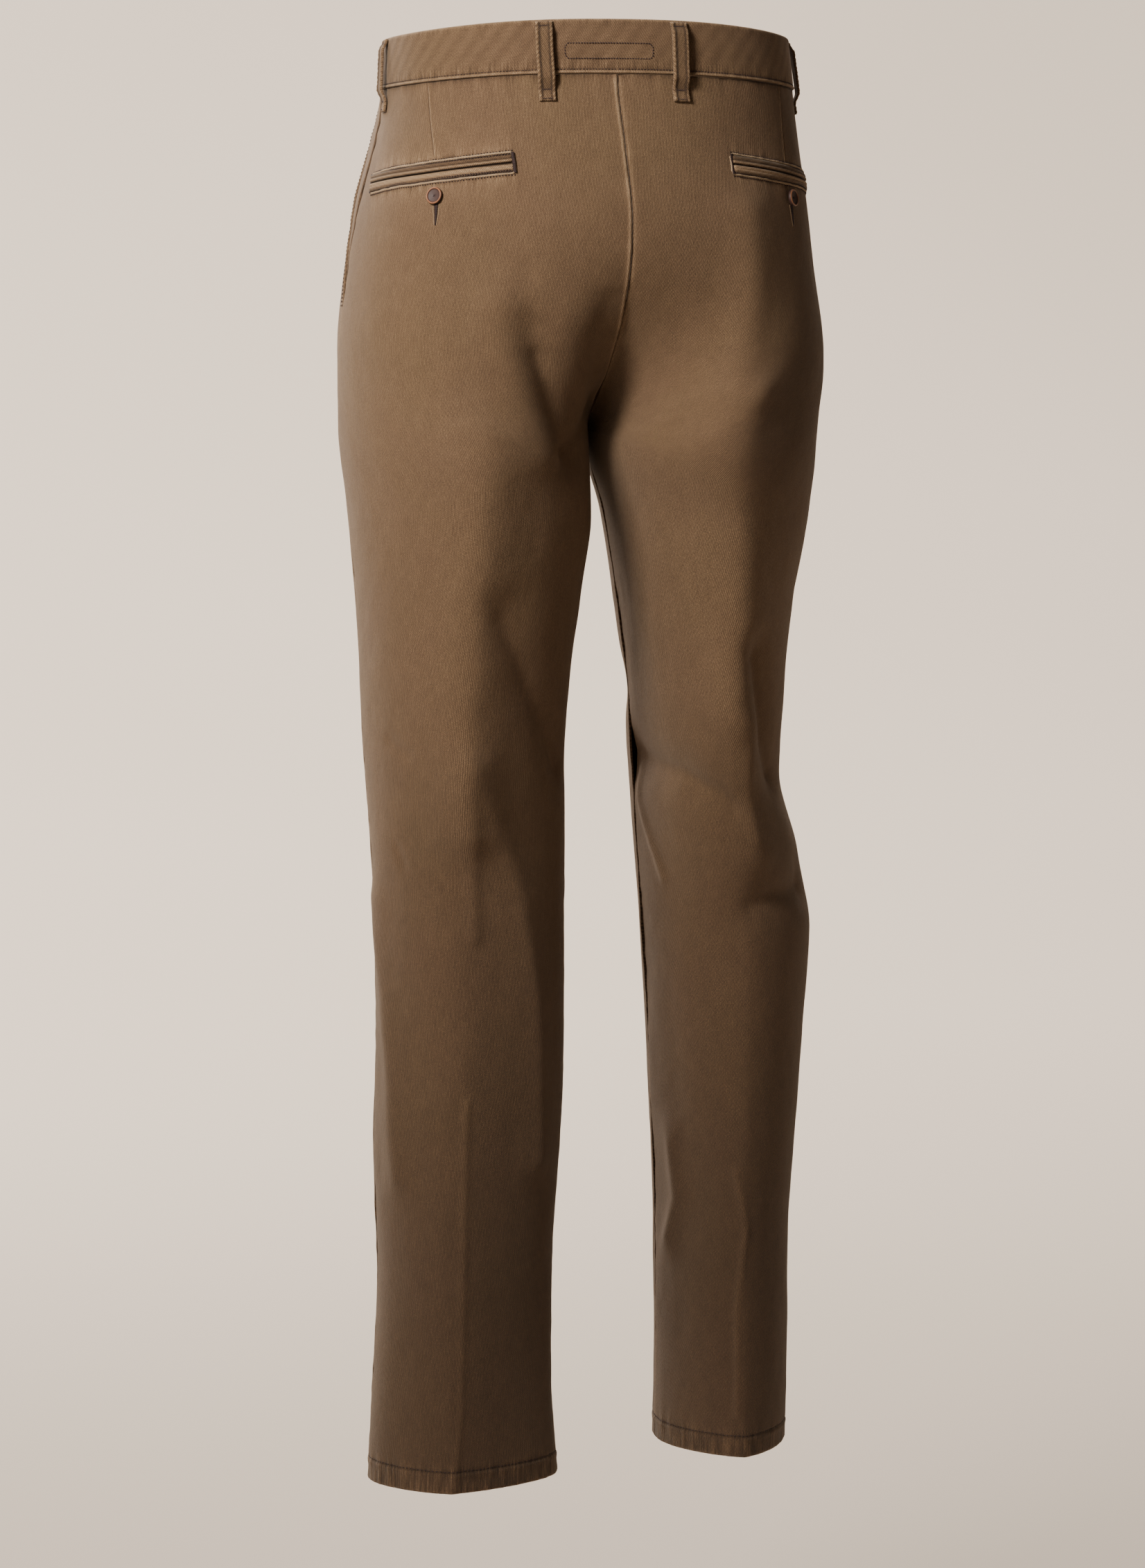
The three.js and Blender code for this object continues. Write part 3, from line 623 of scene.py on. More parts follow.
def shell(name, outer, inner, uv, wear, painted_shade_and_tone, coarse=3, pucker=None):
    """A closed piece of cloth from an outer and an inner grid of points of the same size."""
    rows, columns = outer.shape[:2]
    faces, kept_rows, kept_columns = shell_faces(rows, columns, coarse)
    pick = np.ix_(kept_rows, kept_columns)

    def both(grid):
        kept = grid[pick].reshape(len(kept_rows) * len(kept_columns), -1)
        return np.concatenate([grid.reshape(rows * columns, -1), kept])

    points = np.concatenate([outer.reshape(-1, 3), inner[pick].reshape(-1, 3)])
    middle = (rows // 2) * columns + columns // 2
    here = points[middle]
    right, down = points[middle + 1] - here, points[middle + columns] - here
    out = outer[rows // 2, columns // 2] - inner[rows // 2, columns // 2]
    if np.dot(np.cross(right, down), out) < 0:
        faces = [face[::-1] for face in faces]
    ribs = None if pucker is None else both(pucker)[:, 0]
    return new_mesh(f"{name}_cloth", points, faces, both(uv), both(wear)[:, 0], both(painted_shade_and_tone)[:, 0], ribs)


def spaced(start, end, step):
    """Evenly from start to end, with steps of about the length given."""
    return np.linspace(start, end, max(2, int(round(abs(end - start) / step)) + 1))


def panel_rows(side, half):
    """Rows of a leg panel, closer together where the cloth is worked."""
    hem_top = HEM[side] + HEM_DEPTH
    pocket_end = -122
    top = spaced(PANEL_TOP, pocket_end, 1.25 if half == "back" else 2.6)
    seat = spaced(pocket_end, FORK_ROW_AT_SIDE, 2.2)
    leg = spaced(FORK_ROW_AT_SIDE, hem_top + 8, 2.5)
    hem = spaced(hem_top + 8, HEM[side], 1.3)
    return np.concatenate([top, seat[1:], leg[1:], hem[1:]])


EDGE_STEPS = np.array([0, 0.35, 0.8, 1.4, 2.2, 3.2, 4.6])


def panel_distances(start, end, count):
    """Distances across a row, close together at both edges. Start and end may be one for each row."""
    middle = np.linspace(0, 1, count)
    low, high = start + EDGE_STEPS[-1] + 0 * end, end - EDGE_STEPS[-1]
    inside = low + (high - low) * middle
    first, last = start + EDGE_STEPS[:-1] + 0 * end, end - EDGE_STEPS[:-1][::-1]
    return np.concatenate([first, inside, last], axis=1)


GRAIN_ORIGIN = 250
PANEL_COLUMNS = {"back": 128, "front": 96}
DART_CROWDING = 0.78


def leg_panel(side, half, material):
    """One of the four leg panels, from the waistband's seam to the hem."""
    rows = panel_rows(side, half)[:, None]
    length = row_length(side, half, rows)
    end = length - HALF_GAP - (slant_width(rows) if half == "front" else 0)
    distance = panel_distances(HALF_GAP, end, PANEL_COLUMNS[half])
    if half == "back":
        # Columns crowd towards the dart, which is finer than their even spacing.
        from_dart = distance - DART_FROM_CENTRE + 1
        distance = distance - DART_CROWDING * from_dart * bell(from_dart, 12) * ease(-112, -96, rows)
    row = rows + 0 * distance
    outer, out, wear, painted_shade_and_tone = place(side, half, distance, row)
    smooth = place(side, half, distance, row, fine=False)[0]
    fold = fold_rise(CREASES[f"{side}_{half}"], across_at(side, half, distance, row), outer[..., 2])
    wall = np.where(row <= HEM[side] + HEM_DEPTH, 2 * CLOTH, CLOTH)
    inner = smooth + out * (fold - wall)[..., None]
    grain = distance - 0.5 * length + GRAIN_ORIGIN
    uv = np.stack([grain, row + 2 * GRAIN_ORIGIN * 3], -1)
    name = f"{half}_panel_{side}"
    pucker = pucker_strength(side, half, distance, row, outer[..., 2])
    piece = finish_piece(shell(name, outer, inner, uv, wear, painted_shade_and_tone, 3, pucker), [name], material)
    return piece


def pocket_facing(side, material):
    """The cloth that shows in the slanted pocket, tucked under the front panel."""
    rows = spaced(PANEL_TOP, SLANT_BOTTOM - SLANT_LEVEL_WITHIN, 2.4)[:, None]
    length = row_length(side, "front", rows)
    edge = length - np.maximum(slant_width(rows), 1)
    share = np.linspace(0, 1, 22)
    distance = np.concatenate([edge - SLANT_TUCK * (1 - np.linspace(0, 1, 5)[:-1]),
                               edge + (length - HALF_GAP - edge) * share], axis=1)
    row = rows + 0 * distance
    sink = -(CLOTH + SEAM_GAP) * (1 - ease(1, SLANT_LEVEL_WITHIN, distance - edge))
    base, out, _, _ = place(side, "front", distance, row, fine=False)
    height = base[..., 2]
    to_side = length - distance
    bumps = 0.3 * noise(distance / 16, height / 24, 51) - 0.7 * clamp(1 - to_side / 2.2, 0, 1) ** 2
    ribs = seam_puckers(height, to_side, 7.5, 8, 34)
    lift = sink + bumps + 0.3 * ribs
    outer = base + out * lift[..., None]
    inner = base + out * (sink - CLOTH)[..., None]
    wear = 0.1 * bell(to_side - 1.5, 1.6) + 0.3 * clamp(ribs, 0, 1)
    # Painted shade where the facing runs under the front panel's edge and in the side seam.
    painted_shade_and_tone = 0.7 * np.exp(-clamp(distance - edge, 0, 99) / 3) + 0.7 * clamp(1 - to_side / 1.2, 0, 1)
    uv = np.stack([distance - 0.5 * length + GRAIN_ORIGIN, row + 6 * GRAIN_ORIGIN], -1)
    name = f"pocket_facing_{side}"
    piece = finish_piece(shell(name, outer, inner, uv, wear, painted_shade_and_tone, 2), [name], material)
    return piece


def fly_front(material):
    """The flap over the front opening, with a rounded lower corner."""
    rows = np.concatenate([spaced(PANEL_TOP, FLY_BOTTOM + 12, 2.2),
                           FLY_BOTTOM + 12 * (1 - np.sqrt(np.linspace(0, 1, 12)[1:]))])[:, None]
    into_corner = clamp((FLY_BOTTOM + FLY_CORNER - rows) / FLY_CORNER, 0, 1)
    tip = FLY_TIP - FLY_OVERLAP
    width = tip + (FLY_WIDTH - tip) * np.sqrt(1 - into_corner**2)
    share = np.concatenate([[0, 0.02, 0.045], np.linspace(0.08, 0.94, 26), [0.97, 0.988, 1]])
    distance = -FLY_OVERLAP + (width + FLY_OVERLAP) * share
    row = rows + 0 * distance
    base, out, _, _ = place("left", "front", distance, row, LAY_GAP)
    from_edge = np.minimum(distance + FLY_OVERLAP, width - distance)
    swell = 0.35 * noise(distance / 14, row / 20, 61)
    lift = FLY_THICKNESS * (1 - 0.55 * clamp(1 - from_edge / 1.6, 0, 1) ** 2) + swell * ease(0, 6, from_edge)
    outer = base + out * lift[..., None]
    wear = 0.6 * bell(from_edge - 0.8, 1.3)
    # Painted shade along the flap's edges.
    painted_shade_and_tone = 0.5 * clamp(1 - from_edge / 0.5, 0, 1)
    uv = np.stack([distance + GRAIN_ORIGIN, row + 6 * GRAIN_ORIGIN], -1)
    piece = shell("fly_front", outer, base, uv, wear, painted_shade_and_tone, 2)
    finish_piece(piece, ["fly_front"], material)
    return piece


BAND_PITCH = 1.6


def band_stations():
    """Stations round the waist as (side, half, share of the row, sink), from the end that lies under to
    the end that laps over it at the front."""
    length = {(s, h): float(row_length(s, h, np.array([0.0]))[0]) for s in SIDES for h in ("front", "back")}
    underneath = -(CLOTH + BAND_STANDS_OUT + SEAM_GAP)
    step_start = BAND_OVERLAP + 1
    step_end = step_start + BAND_STEP_LENGTH
    pitch = BAND_PITCH
    parts = [
        ("left", "front", spaced(BAND_UNDERLAP, 0, pitch)),
        ("right", "front", spaced(step_start, length["right", "front"], pitch)),
        ("right", "back", spaced(length["right", "back"], 0, pitch)[1:]),
        ("left", "back", spaced(0, length["left", "back"], pitch)[1:]),
        ("left", "front", spaced(length["left", "front"], 0, pitch)[1:]),
        ("right", "front", spaced(BAND_OVERLAP / 4, BAND_OVERLAP, BAND_OVERLAP / 4)),
    ]
    stations = []
    for number, (side, half, distances) in enumerate(parts):
        for distance in distances:
            sink = 0.0
            if number == 0:
                sink = underneath
            if number == 1:
                sink = underneath * (1 - float(ease(step_start, step_end, distance)))
            stations.append((side, half, distance / length[side, half], sink))
    return stations


BAND_PROFILE = table("row lift", [
    (0, 0.25),
    (-0.25, 0.75),
    (-0.8, 1.15),
    (-1.8, 1.4),
    (-3, 1.3),
    (-5, 1.2),
    (-9, 1.25),
    (-14, 1.3),
    (-19, 1.3),
    (-24, 1.25),
    (-28, 1.2),
    (-31, 1.1),
    (-32.6, 0.85),
    (-33.2, 0.7),
    (-33.8, 0.95),
    (-34.5, 1.55),
    (-35.2, 1.6),
    (-35.7, 1.2),
    (-36, 0.5),
])


def waistband(material):
    """The band round the waist, with a stitched roll along its lower edge."""
    rows = BAND_PROFILE["row"][::-1]
    lifts = BAND_PROFILE["lift"][::-1]
    stations = band_stations()
    outer = np.zeros((len(rows), len(stations), 3))
    inner = np.zeros_like(outer)
    run = np.arange(len(stations)) * BAND_PITCH
    share = np.array([s[2] for s in stations])
    sink = np.array([s[3] for s in stations])
    down = rows[:, None]
    ripple = 0.35 * noise(run[None, :] / 26, down / 30, 71) + 0.2 * noise(run[None, :] / 9, down / 16, 72)
    low_ribs = noise(run[None, :] / 2.6, down / 20, 73) * bell(down + 33.4, 2.6)
    lift = lifts[:, None] + ripple * ease(-36, -30, down) * ease(0, -4, down) + 0.25 * low_ribs
    for side in SIDES:
        for half in ("front", "back"):
            here = np.array([s[0] == side and s[1] == half for s in stations])
            length = row_length(side, half, rows)[:, None]
            distance = share[None, here] * length
            row = rows[:, None] + 0 * distance
            base, out, _, _ = place(side, half, distance, row, fine=False)
            outer[:, here] = base + out * (lift[:, here] + sink[here])[..., None]
            inner[:, here] = base + out * (sink[here] - CLOTH)[None, :, None]
    row = rows[:, None] + 0 * run[None, :]
    wear = 0.6 * bell(row, 1.4) + 0.7 * bell(row + 34.9, 0.8) + 0.3 * clamp(low_ribs, 0, 1)
    # Painted shade in the dip above the band's lower roll and along its lower edge.
    painted_shade_and_tone = 0.5 * bell(row + 33.2, 0.5) + 0.8 * bell(row + 36, 0.35)
    uv = np.stack([row + GRAIN_ORIGIN, run[None, :] + 0 * row], -1)
    pucker = 0.75 * bell(row + 31, 3.2) + 0.35 * bell(row + 2, 2.5)
    piece = shell("waistband", outer, inner, uv, wear, painted_shade_and_tone, 3, pucker)
    finish_piece(piece, ["waistband"], material)
    return piece


def loop_standoff(row):
    """Clear height of a belt loop's underside over the cloth."""
    over_band = BAND_STANDS_OUT + LAY_GAP
    open_height = BAND_STANDS_OUT + LOOP_GAP
    rises = ease(LOOP_TOP - 1, LOOP_TOP - 8, row)
    falls = ease(-BAND_HEIGHT - 1, -BAND_HEIGHT - 10, row)
    return over_band + (open_height - over_band) * rises - (open_height - LAY_GAP) * falls


LOOP_SECTION = [
    (-0.5, 0.35), (-0.48, 0.75), (-0.42, 1.0), (-0.35, 0.95), (-0.28, 0.68), (-0.15, 0.6),
    (0, 0.64), (0.15, 0.6), (0.28, 0.68), (0.35, 0.95), (0.42, 1.0), (0.48, 0.75), (0.5, 0.35),
]


def belt_loop(place_name, side, material):
    """A belt loop: a strip with rolled, stitched edges, caught at the top of the band and below it."""
    half, from_centre = LOOPS[place_name]
    rows = spaced(LOOP_TOP, LOOP_BOTTOM, 1.0)[:, None]
    section = np.array(LOOP_SECTION)
    share, full = section[:, 0][None, :], section[:, 1][None, :]
    distance = from_centre[side] + share * LOOP_WIDTH
    row = rows + 0 * distance
    seed = 80 + 3 * list(LOOPS).index(place_name) + SIGN[side]
    wander = 0.5 * noise(rows / 18, 0.5, seed)
    base, out, _, _ = place(side, half, distance + wander, row, fine=False)
    near_end = clamp(1 - (rows - LOOP_BOTTOM) / 7, 0, 1) + 0.8 * clamp(1 - (LOOP_TOP - rows) / 3, 0, 1)
    lumps = 0.8 * near_end * (0.5 + 0.5 * noise(share * 6, rows / 2.4, seed + 1))
    ripple = 0.16 * noise(share * 4, rows / 2.2, seed + 2)
    ends = clamp(1 - (rows - LOOP_BOTTOM) / 1.0, 0, 1) + clamp(1 - (LOOP_TOP - rows) / 1.0, 0, 1)
    stand = loop_standoff(row)
    rolled = bell(np.abs(share) - 0.4, 0.09)
    rope = np.sin(2 * math.pi * (rows / 3.1 + share * 3) + 2 * noise(rows / 9, 0.5, seed + 5))
    thickness = LOOP_THICKNESS * full * (1 - 0.45 * ends) + lumps + ripple + 0.2 * rope * rolled
    outer = base + out * (stand + thickness)[..., None]
    inner = base + out * stand[..., None]
    patchy = 0.6 + 0.4 * noise(share * 5, rows / 2, seed + 6)
    wear = rolled * (0.55 + 0.35 * rope) + 0.7 * clamp(near_end, 0, 1) * patchy
    across_ends = 0.35 * bell(rows + 45.5, 1.2) + 0.45 * bell(rows + 4.5, 0.9)
    # Painted shade in the dips inside the rolled edges, across the tacked ends and in the twists of the
    # rolls.
    painted_shade_and_tone = 0.95 * bell(np.abs(share) - 0.27, 0.06) + across_ends + 0.3 * clamp(-rope, 0, 1) * rolled
    uv = np.stack([distance + GRAIN_ORIGIN + 0 * row, row + 6 * GRAIN_ORIGIN], -1)
    name = f"belt_loop_{place_name}_{side}"
    piece = shell(name, outer, inner, uv, wear, clamp(painted_shade_and_tone, 0, 1), 1)
    finish_piece(piece, [name], material)
    return piece


WELT_SECTION = [
    (0, 0.0), (0.03, 0.45), (0.12, 0.85), (0.22, 1.0), (0.32, 0.95), (0.4, 0.75), (0.45, 0.6), (0.5, 0.7),
    (0.6, 0.85), (0.7, 0.85), (0.8, 0.75), (0.9, 0.5), (1, 0.1),
]


def pocket_welt(side, level, material):
    """One of the two folded strips that line a back pocket's slit."""
    distance = spaced(POCKET_FROM, POCKET_TO, 1.6)[None, :]
    section = np.array(WELT_SECTION)
    share, full = section[:, 0][:, None], section[:, 1][:, None]
    direction = 1 if level == "upper" else -1
    seed = 90 + (1 if level == "upper" else 2) + SIGN[side] * 3
    sag = 0.35 * noise(distance / 30, 0.5, seed)
    row = pocket_slit_row(distance) + direction * (SLIT / 2 + share * WELT) + sag * (1 - share)
    column = distance + 0 * row
    base, out, _, _ = place(side, "back", column, row, LAY_GAP, fine=False)
    ends = clamp(1 - np.minimum(distance - POCKET_FROM, POCKET_TO - distance) / 1.5, 0, 1)
    swell = 0.2 * noise(distance / 7, share * 2, seed + 1)
    lift = full * WELT_THICKNESS * (1 - 0.5 * ends) + swell * full
    outer = base + out * lift[..., None]
    inner = base + out * (-0.2 + 0 * lift)[..., None]
    upper = level == "upper"
    wear = (0.75 * bell(share - 0.2, 0.16) if upper else 1.0 * bell(share - 0.35, 0.27)) + 0 * column
    # Painted shade along the welts' edges and in the upper welt's middle dip; the upper welt is also darker
    # over its outer half.
    painted_shade_and_tone = 0.9 * bell(share, 0.08) + 0.7 * bell(share - 1, 0.12) + 0 * column
    if upper:
        painted_shade_and_tone = painted_shade_and_tone + 0.9 * bell(share - 0.45, 0.07) + 0.25 * (share > 0.5)
    uv = np.stack([direction * share * WELT + GRAIN_ORIGIN + 0 * column, column], -1)
    name = f"back_pocket_{side}_{level}_welt"
    piece = finish_piece(shell(name, outer, inner, uv, wear, painted_shade_and_tone, 1), [name], material)
    return piece


def resample(points, step):
    """Even steps along a line of (distance, row) points."""
    points = np.asarray(points, float)
    lengths = np.concatenate([[0], np.cumsum(np.linalg.norm(np.diff(points, axis=0), axis=1))])
    goal = spaced(0, lengths[-1], step)
    return np.stack([np.interp(goal, lengths, points[:, 0]), np.interp(goal, lengths, points[:, 1])], -1)


def frames_along(side, half, line, lift, closed=False):
    """Place, way along, way across and way out at each point of a line on the cloth."""
    point, out, _, _ = place(side, half, line[:, 0], line[:, 1], lift)
    if closed:
        along = unit(np.roll(point, -1, axis=0) - np.roll(point, 1, axis=0))
    else:
        along = unit(np.gradient(point, axis=0))
    across = unit(np.cross(out, along))
    return point, along, across, out


def thread_faces(sides, rings, base):
    """Faces of a run of rings with a point at each end."""
    faces = []
    for ring in range(rings - 1):
        for k in range(sides):
            a = base + 1 + ring * sides + k
            b = base + 1 + ring * sides + (k + 1) % sides
            faces.append((a, b, b + sides, a + sides))
    tail = base + 1 + rings * sides
    for k in range(sides):
        n = (k + 1) % sides
        faces.append((base, base + 1 + n, base + 1 + k))
        faces.append((tail, tail - sides + k, tail - sides + n))
    return faces


STITCH_RINGS = ((0.18, 0.8), (0.5, 1.0), (0.82, 0.8))
STITCH_SIDES = 5


def stitch_mesh(name, starts, ends, outs, width, material, slot="cloth"):
    """Many short stitches as one mesh, each a plump thread from its start to its end."""
    points, faces = [], []
    for start, end, out in zip(starts, ends, outs):
        base = len(points)
        along = end - start
        across = unit(np.cross(out, along))
        points.append(start - out * width * 0.4)
        for share, full in STITCH_RINGS:
            middle = start + along * share
            for k in range(STITCH_SIDES):
                turn = 2 * math.pi * k / STITCH_SIDES
                reach = width / 2 * full
                points.append(middle + across * reach * math.cos(turn) + out * reach * math.sin(turn))
        points.append(end - out * width * 0.4)
        faces += thread_faces(STITCH_SIDES, len(STITCH_RINGS), base)
    return finish_piece(new_mesh(name, np.array(points), faces), material=material)


def stitch_line(side, half, line, lift, pitch=STITCH_PITCH, fill=0.68, slant=0.0, seed=0):
    """Starts, ends and ways out of a row of stitches along a line of (distance, row) points."""
    line = resample(line, pitch)
    point, along, across, out = frames_along(side, half, line, lift)
    jitter = np.random.default_rng(seed).uniform(-0.08, 0.08, (len(line), 2))
    half_length = pitch * fill / 2
    start = point - along * half_length + across * (jitter[:, :1] * pitch - slant)
    end = point + along * half_length + across * (jitter[:, 1:] * pitch + slant)
    return start, end, out


def join_lines(*lines):
    return tuple(np.concatenate(parts) for parts in zip(*lines))


def cord_mesh(name, frames, width, height, wear_value, material, closed=False, seed=0):
    """A raised rounded roll of cloth that follows a line on the cloth."""
    point, _, across, out = frames
    sides = 7
    turns = np.linspace(0, math.pi, sides)
    count = len(point)
    run = np.arange(count) * 1.0
    uneven = 1 + 0.18 * noise(run / 2.5, 0.5, seed)[:, None, None]
    ring = (across[:, None, :] * np.cos(turns)[None, :, None] * width / 2
            + out[:, None, :] * np.sin(turns)[None, :, None] * height) * uneven
    top = point[:, None, :] + ring
    foot = point[:, None, :] - out[:, None, :] * 0.4
    grid = np.concatenate([top, foot], axis=1)
    wide = sides + 1
    faces = []
    for i in range(count if closed else count - 1):
        n = (i + 1) % count
        for k in range(wide):
            m = (k + 1) % wide
            faces.append((i * wide + k, n * wide + k, n * wide + m, i * wide + m))
    if not closed:
        faces.append(tuple(range(wide)))
        faces.append(tuple((count - 1) * wide + k for k in range(wide))[::-1])
    uv = np.stack([np.tile(np.arange(wide) * 0.6, count) + GRAIN_ORIGIN, np.repeat(run, wide)], -1)
    ribs = 0.5 + 0.5 * noise(run / 1.6, 0.5, seed + 1)
    wear = np.repeat(wear_value * (0.75 + 0.35 * ribs), wide)
    piece = new_mesh(name, grid.reshape(-1, 3), faces, uv, wear, 0 * wear)
    return finish_piece(piece, material=material)


def frame_line(inset):
    """The outline round a back pocket, as (distance, row) points, moved out by an inset."""
    reach = SLIT / 2 + WELT + inset
    left, right = POCKET_FROM - inset, POCKET_TO + inset
    corner = 2.0
    def at(distance, level):
        return (distance, float(pocket_slit_row(distance)) + level)
    return [
        at(left + corner, reach), at(right - corner, reach), at(right, reach - corner),
        at(right, -reach + corner), at(right - corner, -reach), at(left + corner, -reach),
        at(left, -reach + corner), at(left, reach - corner), at(left + corner, reach),
    ]


def pocket_sewing(side, cloth, thread):
    """The raised frame round a back pocket, its rows of stitches and its end tacks."""
    line = resample(frame_line(0.9), 1.0)[:-1]
    frames = frames_along(side, "back", line, 0.1, closed=True)
    cord_mesh(f"back_pocket_{side}_frame", frames, 1.7, 1.0, 0.95, cloth, closed=True, seed=101)
    rows = [
        stitch_line(side, "back", frame_line(2.0)[:2], 0.25, 2.2, 0.6, seed=1),
        stitch_line(side, "back", frame_line(2.0)[4:6], 0.25, 2.2, 0.6, seed=2),
        stitch_line(side, "back", frame_line(-0.4)[:2], 0.9, 2.2, 0.85, seed=3),
        stitch_line(side, "back", frame_line(-0.2)[4:6], 0.9, 2.0, 0.95, 0.3, seed=4),
        stitch_line(side, "back", frame_line(-1.2)[4:6], 1.3, 2.0, 0.95, -0.3, seed=5),
    ]
    for distance in (POCKET_FROM - 0.4, POCKET_TO + 0.4):
        slit = float(pocket_slit_row(distance))
        tack = np.linspace(slit - 6.4, slit + 6.4, 20)
        middle = np.stack([np.full(20, distance), tack], -1)
        point, _, _, out = frames_along(side, "back", middle, 1.2)
        offset = np.stack([np.full(20, distance + 1.5), tack + 0.3], -1)
        other = place(side, "back", offset[:, 0], offset[:, 1], 1.2)[0]
        rows.append((2 * point - other, other, out))
    stitch_mesh(f"back_pocket_{side}_stitches", *join_lines(*rows), 0.9, thread, "trim_cloth")


BUTTON_PROFILE = [
    (0, 0), (0.82, 0), (0.95, 0.14), (1.0, 0.4), (1.0, 0.66), (0.97, 0.84), (0.93, 0.94), (0.88, 1.0),
    (0.83, 0.98), (0.79, 0.88), (0.76, 0.74), (0.68, 0.68), (0.4, 0.66), (0.2, 0.58), (0, 0.5),
]


def button(name, side, half, from_centre, height, radius, thickness, lift, materials):
    """A dished button with a rim and no holes, facing out of the cloth, with crossed thread laid on it."""
    rim_material, face_material, thread = materials
    point, out, _, _ = place(side, half, np.array([from_centre]), np.array([height]), lift, fine=False)
    point, out = point[0], out[0]
    side_way = unit(np.cross(out, np.array([0, 0, 1.0])))
    up_way = np.cross(side_way, out)
    sides = 48
    turns = 2 * math.pi * np.arange(sides) / sides
    points, faces, tags = [point], [], []
    for share, high in BUTTON_PROFILE[1:-1]:
        for turn in turns:
            ring = side_way * math.cos(turn) + up_way * math.sin(turn)
            points.append(point + ring * share * radius + out * high * thickness)
    points.append(point + out * BUTTON_PROFILE[-1][1] * thickness)
    rings = len(BUTTON_PROFILE) - 2
    for k in range(sides):
        n = (k + 1) % sides
        faces.append((0, 1 + n, 1 + k))
        tags.append(1)
        for ring in range(rings - 1):
            a, b = 1 + ring * sides, 1 + (ring + 1) * sides
            faces.append((a + k, a + n, b + n, b + k))
            middle = (BUTTON_PROFILE[ring + 1][0] + BUTTON_PROFILE[ring + 2][0]) / 2
            tags.append(0 if 0.79 < middle < 0.96 and ring > 3 else 1)
        last = 1 + (rings - 1) * sides
        faces.append((last + k, last + n, len(points) - 1))
        tags.append(1)
    piece = new_mesh(f"{name}_moulded", np.array(points), faces)
    finish_piece(piece, [name], rim_material)
    piece.data.materials.append(face_material)
    piece.data.polygons.foreach_set("material_index", tags)
    top = BUTTON_PROFILE[-1][1] * thickness
    reach = 0.15 * radius
    corners = [point + out * (top + 0.2) + side_way * sx * reach + up_way * sy * reach
               for sx, sy in ((-1, -1), (1, 1), (-1, 1), (1, -1))]
    starts, ends = np.array([corners[0], corners[2]]), np.array([corners[1], corners[3]])
    stitch_mesh(f"{name}_thread", starts, ends, np.array([out, out]), 0.6, thread, "button")
    return piece


BUTTONHOLE_TOP = -118.5
BUTTONHOLE_END = -133.5


def buttonhole(side, cloth, thread):
    """The tail of the buttonhole that shows below a back pocket's button: close cross stitches in a lip."""
    rows = np.linspace(BUTTONHOLE_TOP, BUTTONHOLE_END, 24)
    down = (BUTTONHOLE_TOP - rows) / (BUTTONHOLE_TOP - BUTTONHOLE_END)
    centre = POCKET_BUTTON["from_centre"] + 0.9 * down + 0.25 * noise(rows / 5, 0.5, 111)
    reach = 0.4 + 1.7 * (1 - down) ** 0.8
    low, out, _, _ = place(side, "back", centre - reach, rows, 0.3)
    high = place(side, "back", centre + reach, rows + 0.3, 0.3)[0]
    stitch_mesh(f"back_pocket_{side}_buttonhole", low, high, out, 0.8, thread, "button")
    for edge in (-1, 1):
        line = np.stack([centre + edge * (reach + 0.55), rows], -1)
        frames = frames_along(side, "back", line, 0.05)
        name = f"back_pocket_{side}_buttonhole_lip_{edge + 1}"
        cord_mesh(name, frames, 0.8, 0.35, 0.6, cloth, seed=112 + edge)


def hem_sewing(side, thread):
    """The row of stitches round the top of a hem."""
    lines = []
    for half in ("back", "front"):
        row = HEM[side] + HEM_DEPTH + 0.6
        length = float(row_length(side, half, np.array([row]))[0])
        lines.append(stitch_line(side, half, [(1, row), (length - 1, row)], 0.1, 3.1, 0.62, seed=7))
    stitch_mesh(f"hem_{side}_stitches", *join_lines(*lines), THREAD_WIDTH, thread)


def band_point(side, half, distance, row, lift):
    """A place on the waistband, at a distance measured along its top edge."""
    top = row_length(side, half, np.zeros(np.shape(distance)))
    here = row_length(side, half, np.asarray(row, float))
    return place(side, half, distance / top * here, row, lift, fine=False)


BAND_STITCH_ROW = -33.2
BAND_STITCH_HALF = 0.65


def band_sewing(thread):
    """Stitches along the lower edge of the band."""
    lines = []
    for side in SIDES:
        for half in ("back", "front"):
            length = float(row_length(side, half, np.array([0.0]))[0])
            distance = spaced(1.5, length - 1.5, STITCH_PITCH)
            row = np.full(len(distance), BAND_STITCH_ROW)
            start = band_point(side, half, distance - BAND_STITCH_HALF, row, 0.95)[0]
            end, out, _, _ = band_point(side, half, distance + BAND_STITCH_HALF, row, 0.95)
            lines.append((start, end, out))
    stitch_mesh("waistband_stitches", *join_lines(*lines), THREAD_WIDTH, thread)


PATCH_LEFT = 36
PATCH_RIGHT = -26
PATCH_TOP = -16.4
PATCH_BOTTOM = -26.4
PATCH_CORNER = 2.2


def patch_sewing(thread):
    """The stitched box on the band at the centre back, plain inside, with clipped corners."""
    c = PATCH_CORNER
    corners = [
        (PATCH_LEFT - c, PATCH_TOP), (PATCH_RIGHT + c, PATCH_TOP), (PATCH_RIGHT, PATCH_TOP - c),
        (PATCH_RIGHT, PATCH_BOTTOM + c), (PATCH_RIGHT + c, PATCH_BOTTOM), (PATCH_LEFT - c, PATCH_BOTTOM),
        (PATCH_LEFT, PATCH_BOTTOM + c), (PATCH_LEFT, PATCH_TOP - c), (PATCH_LEFT - c, PATCH_TOP),
    ]
    line = resample(corners, 1.9)
    along = unit(np.gradient(line, axis=0))
    lines = []
    for reach in (-0.8, 0.8):
        lines.append(line + along * reach)
    point = [place("left", "back", ends[:, 0], ends[:, 1], 1.45, fine=False) for ends in lines]
    stitch_mesh("waistband_box_stitches", point[0][0], point[1][0], point[0][1], 0.95, thread)


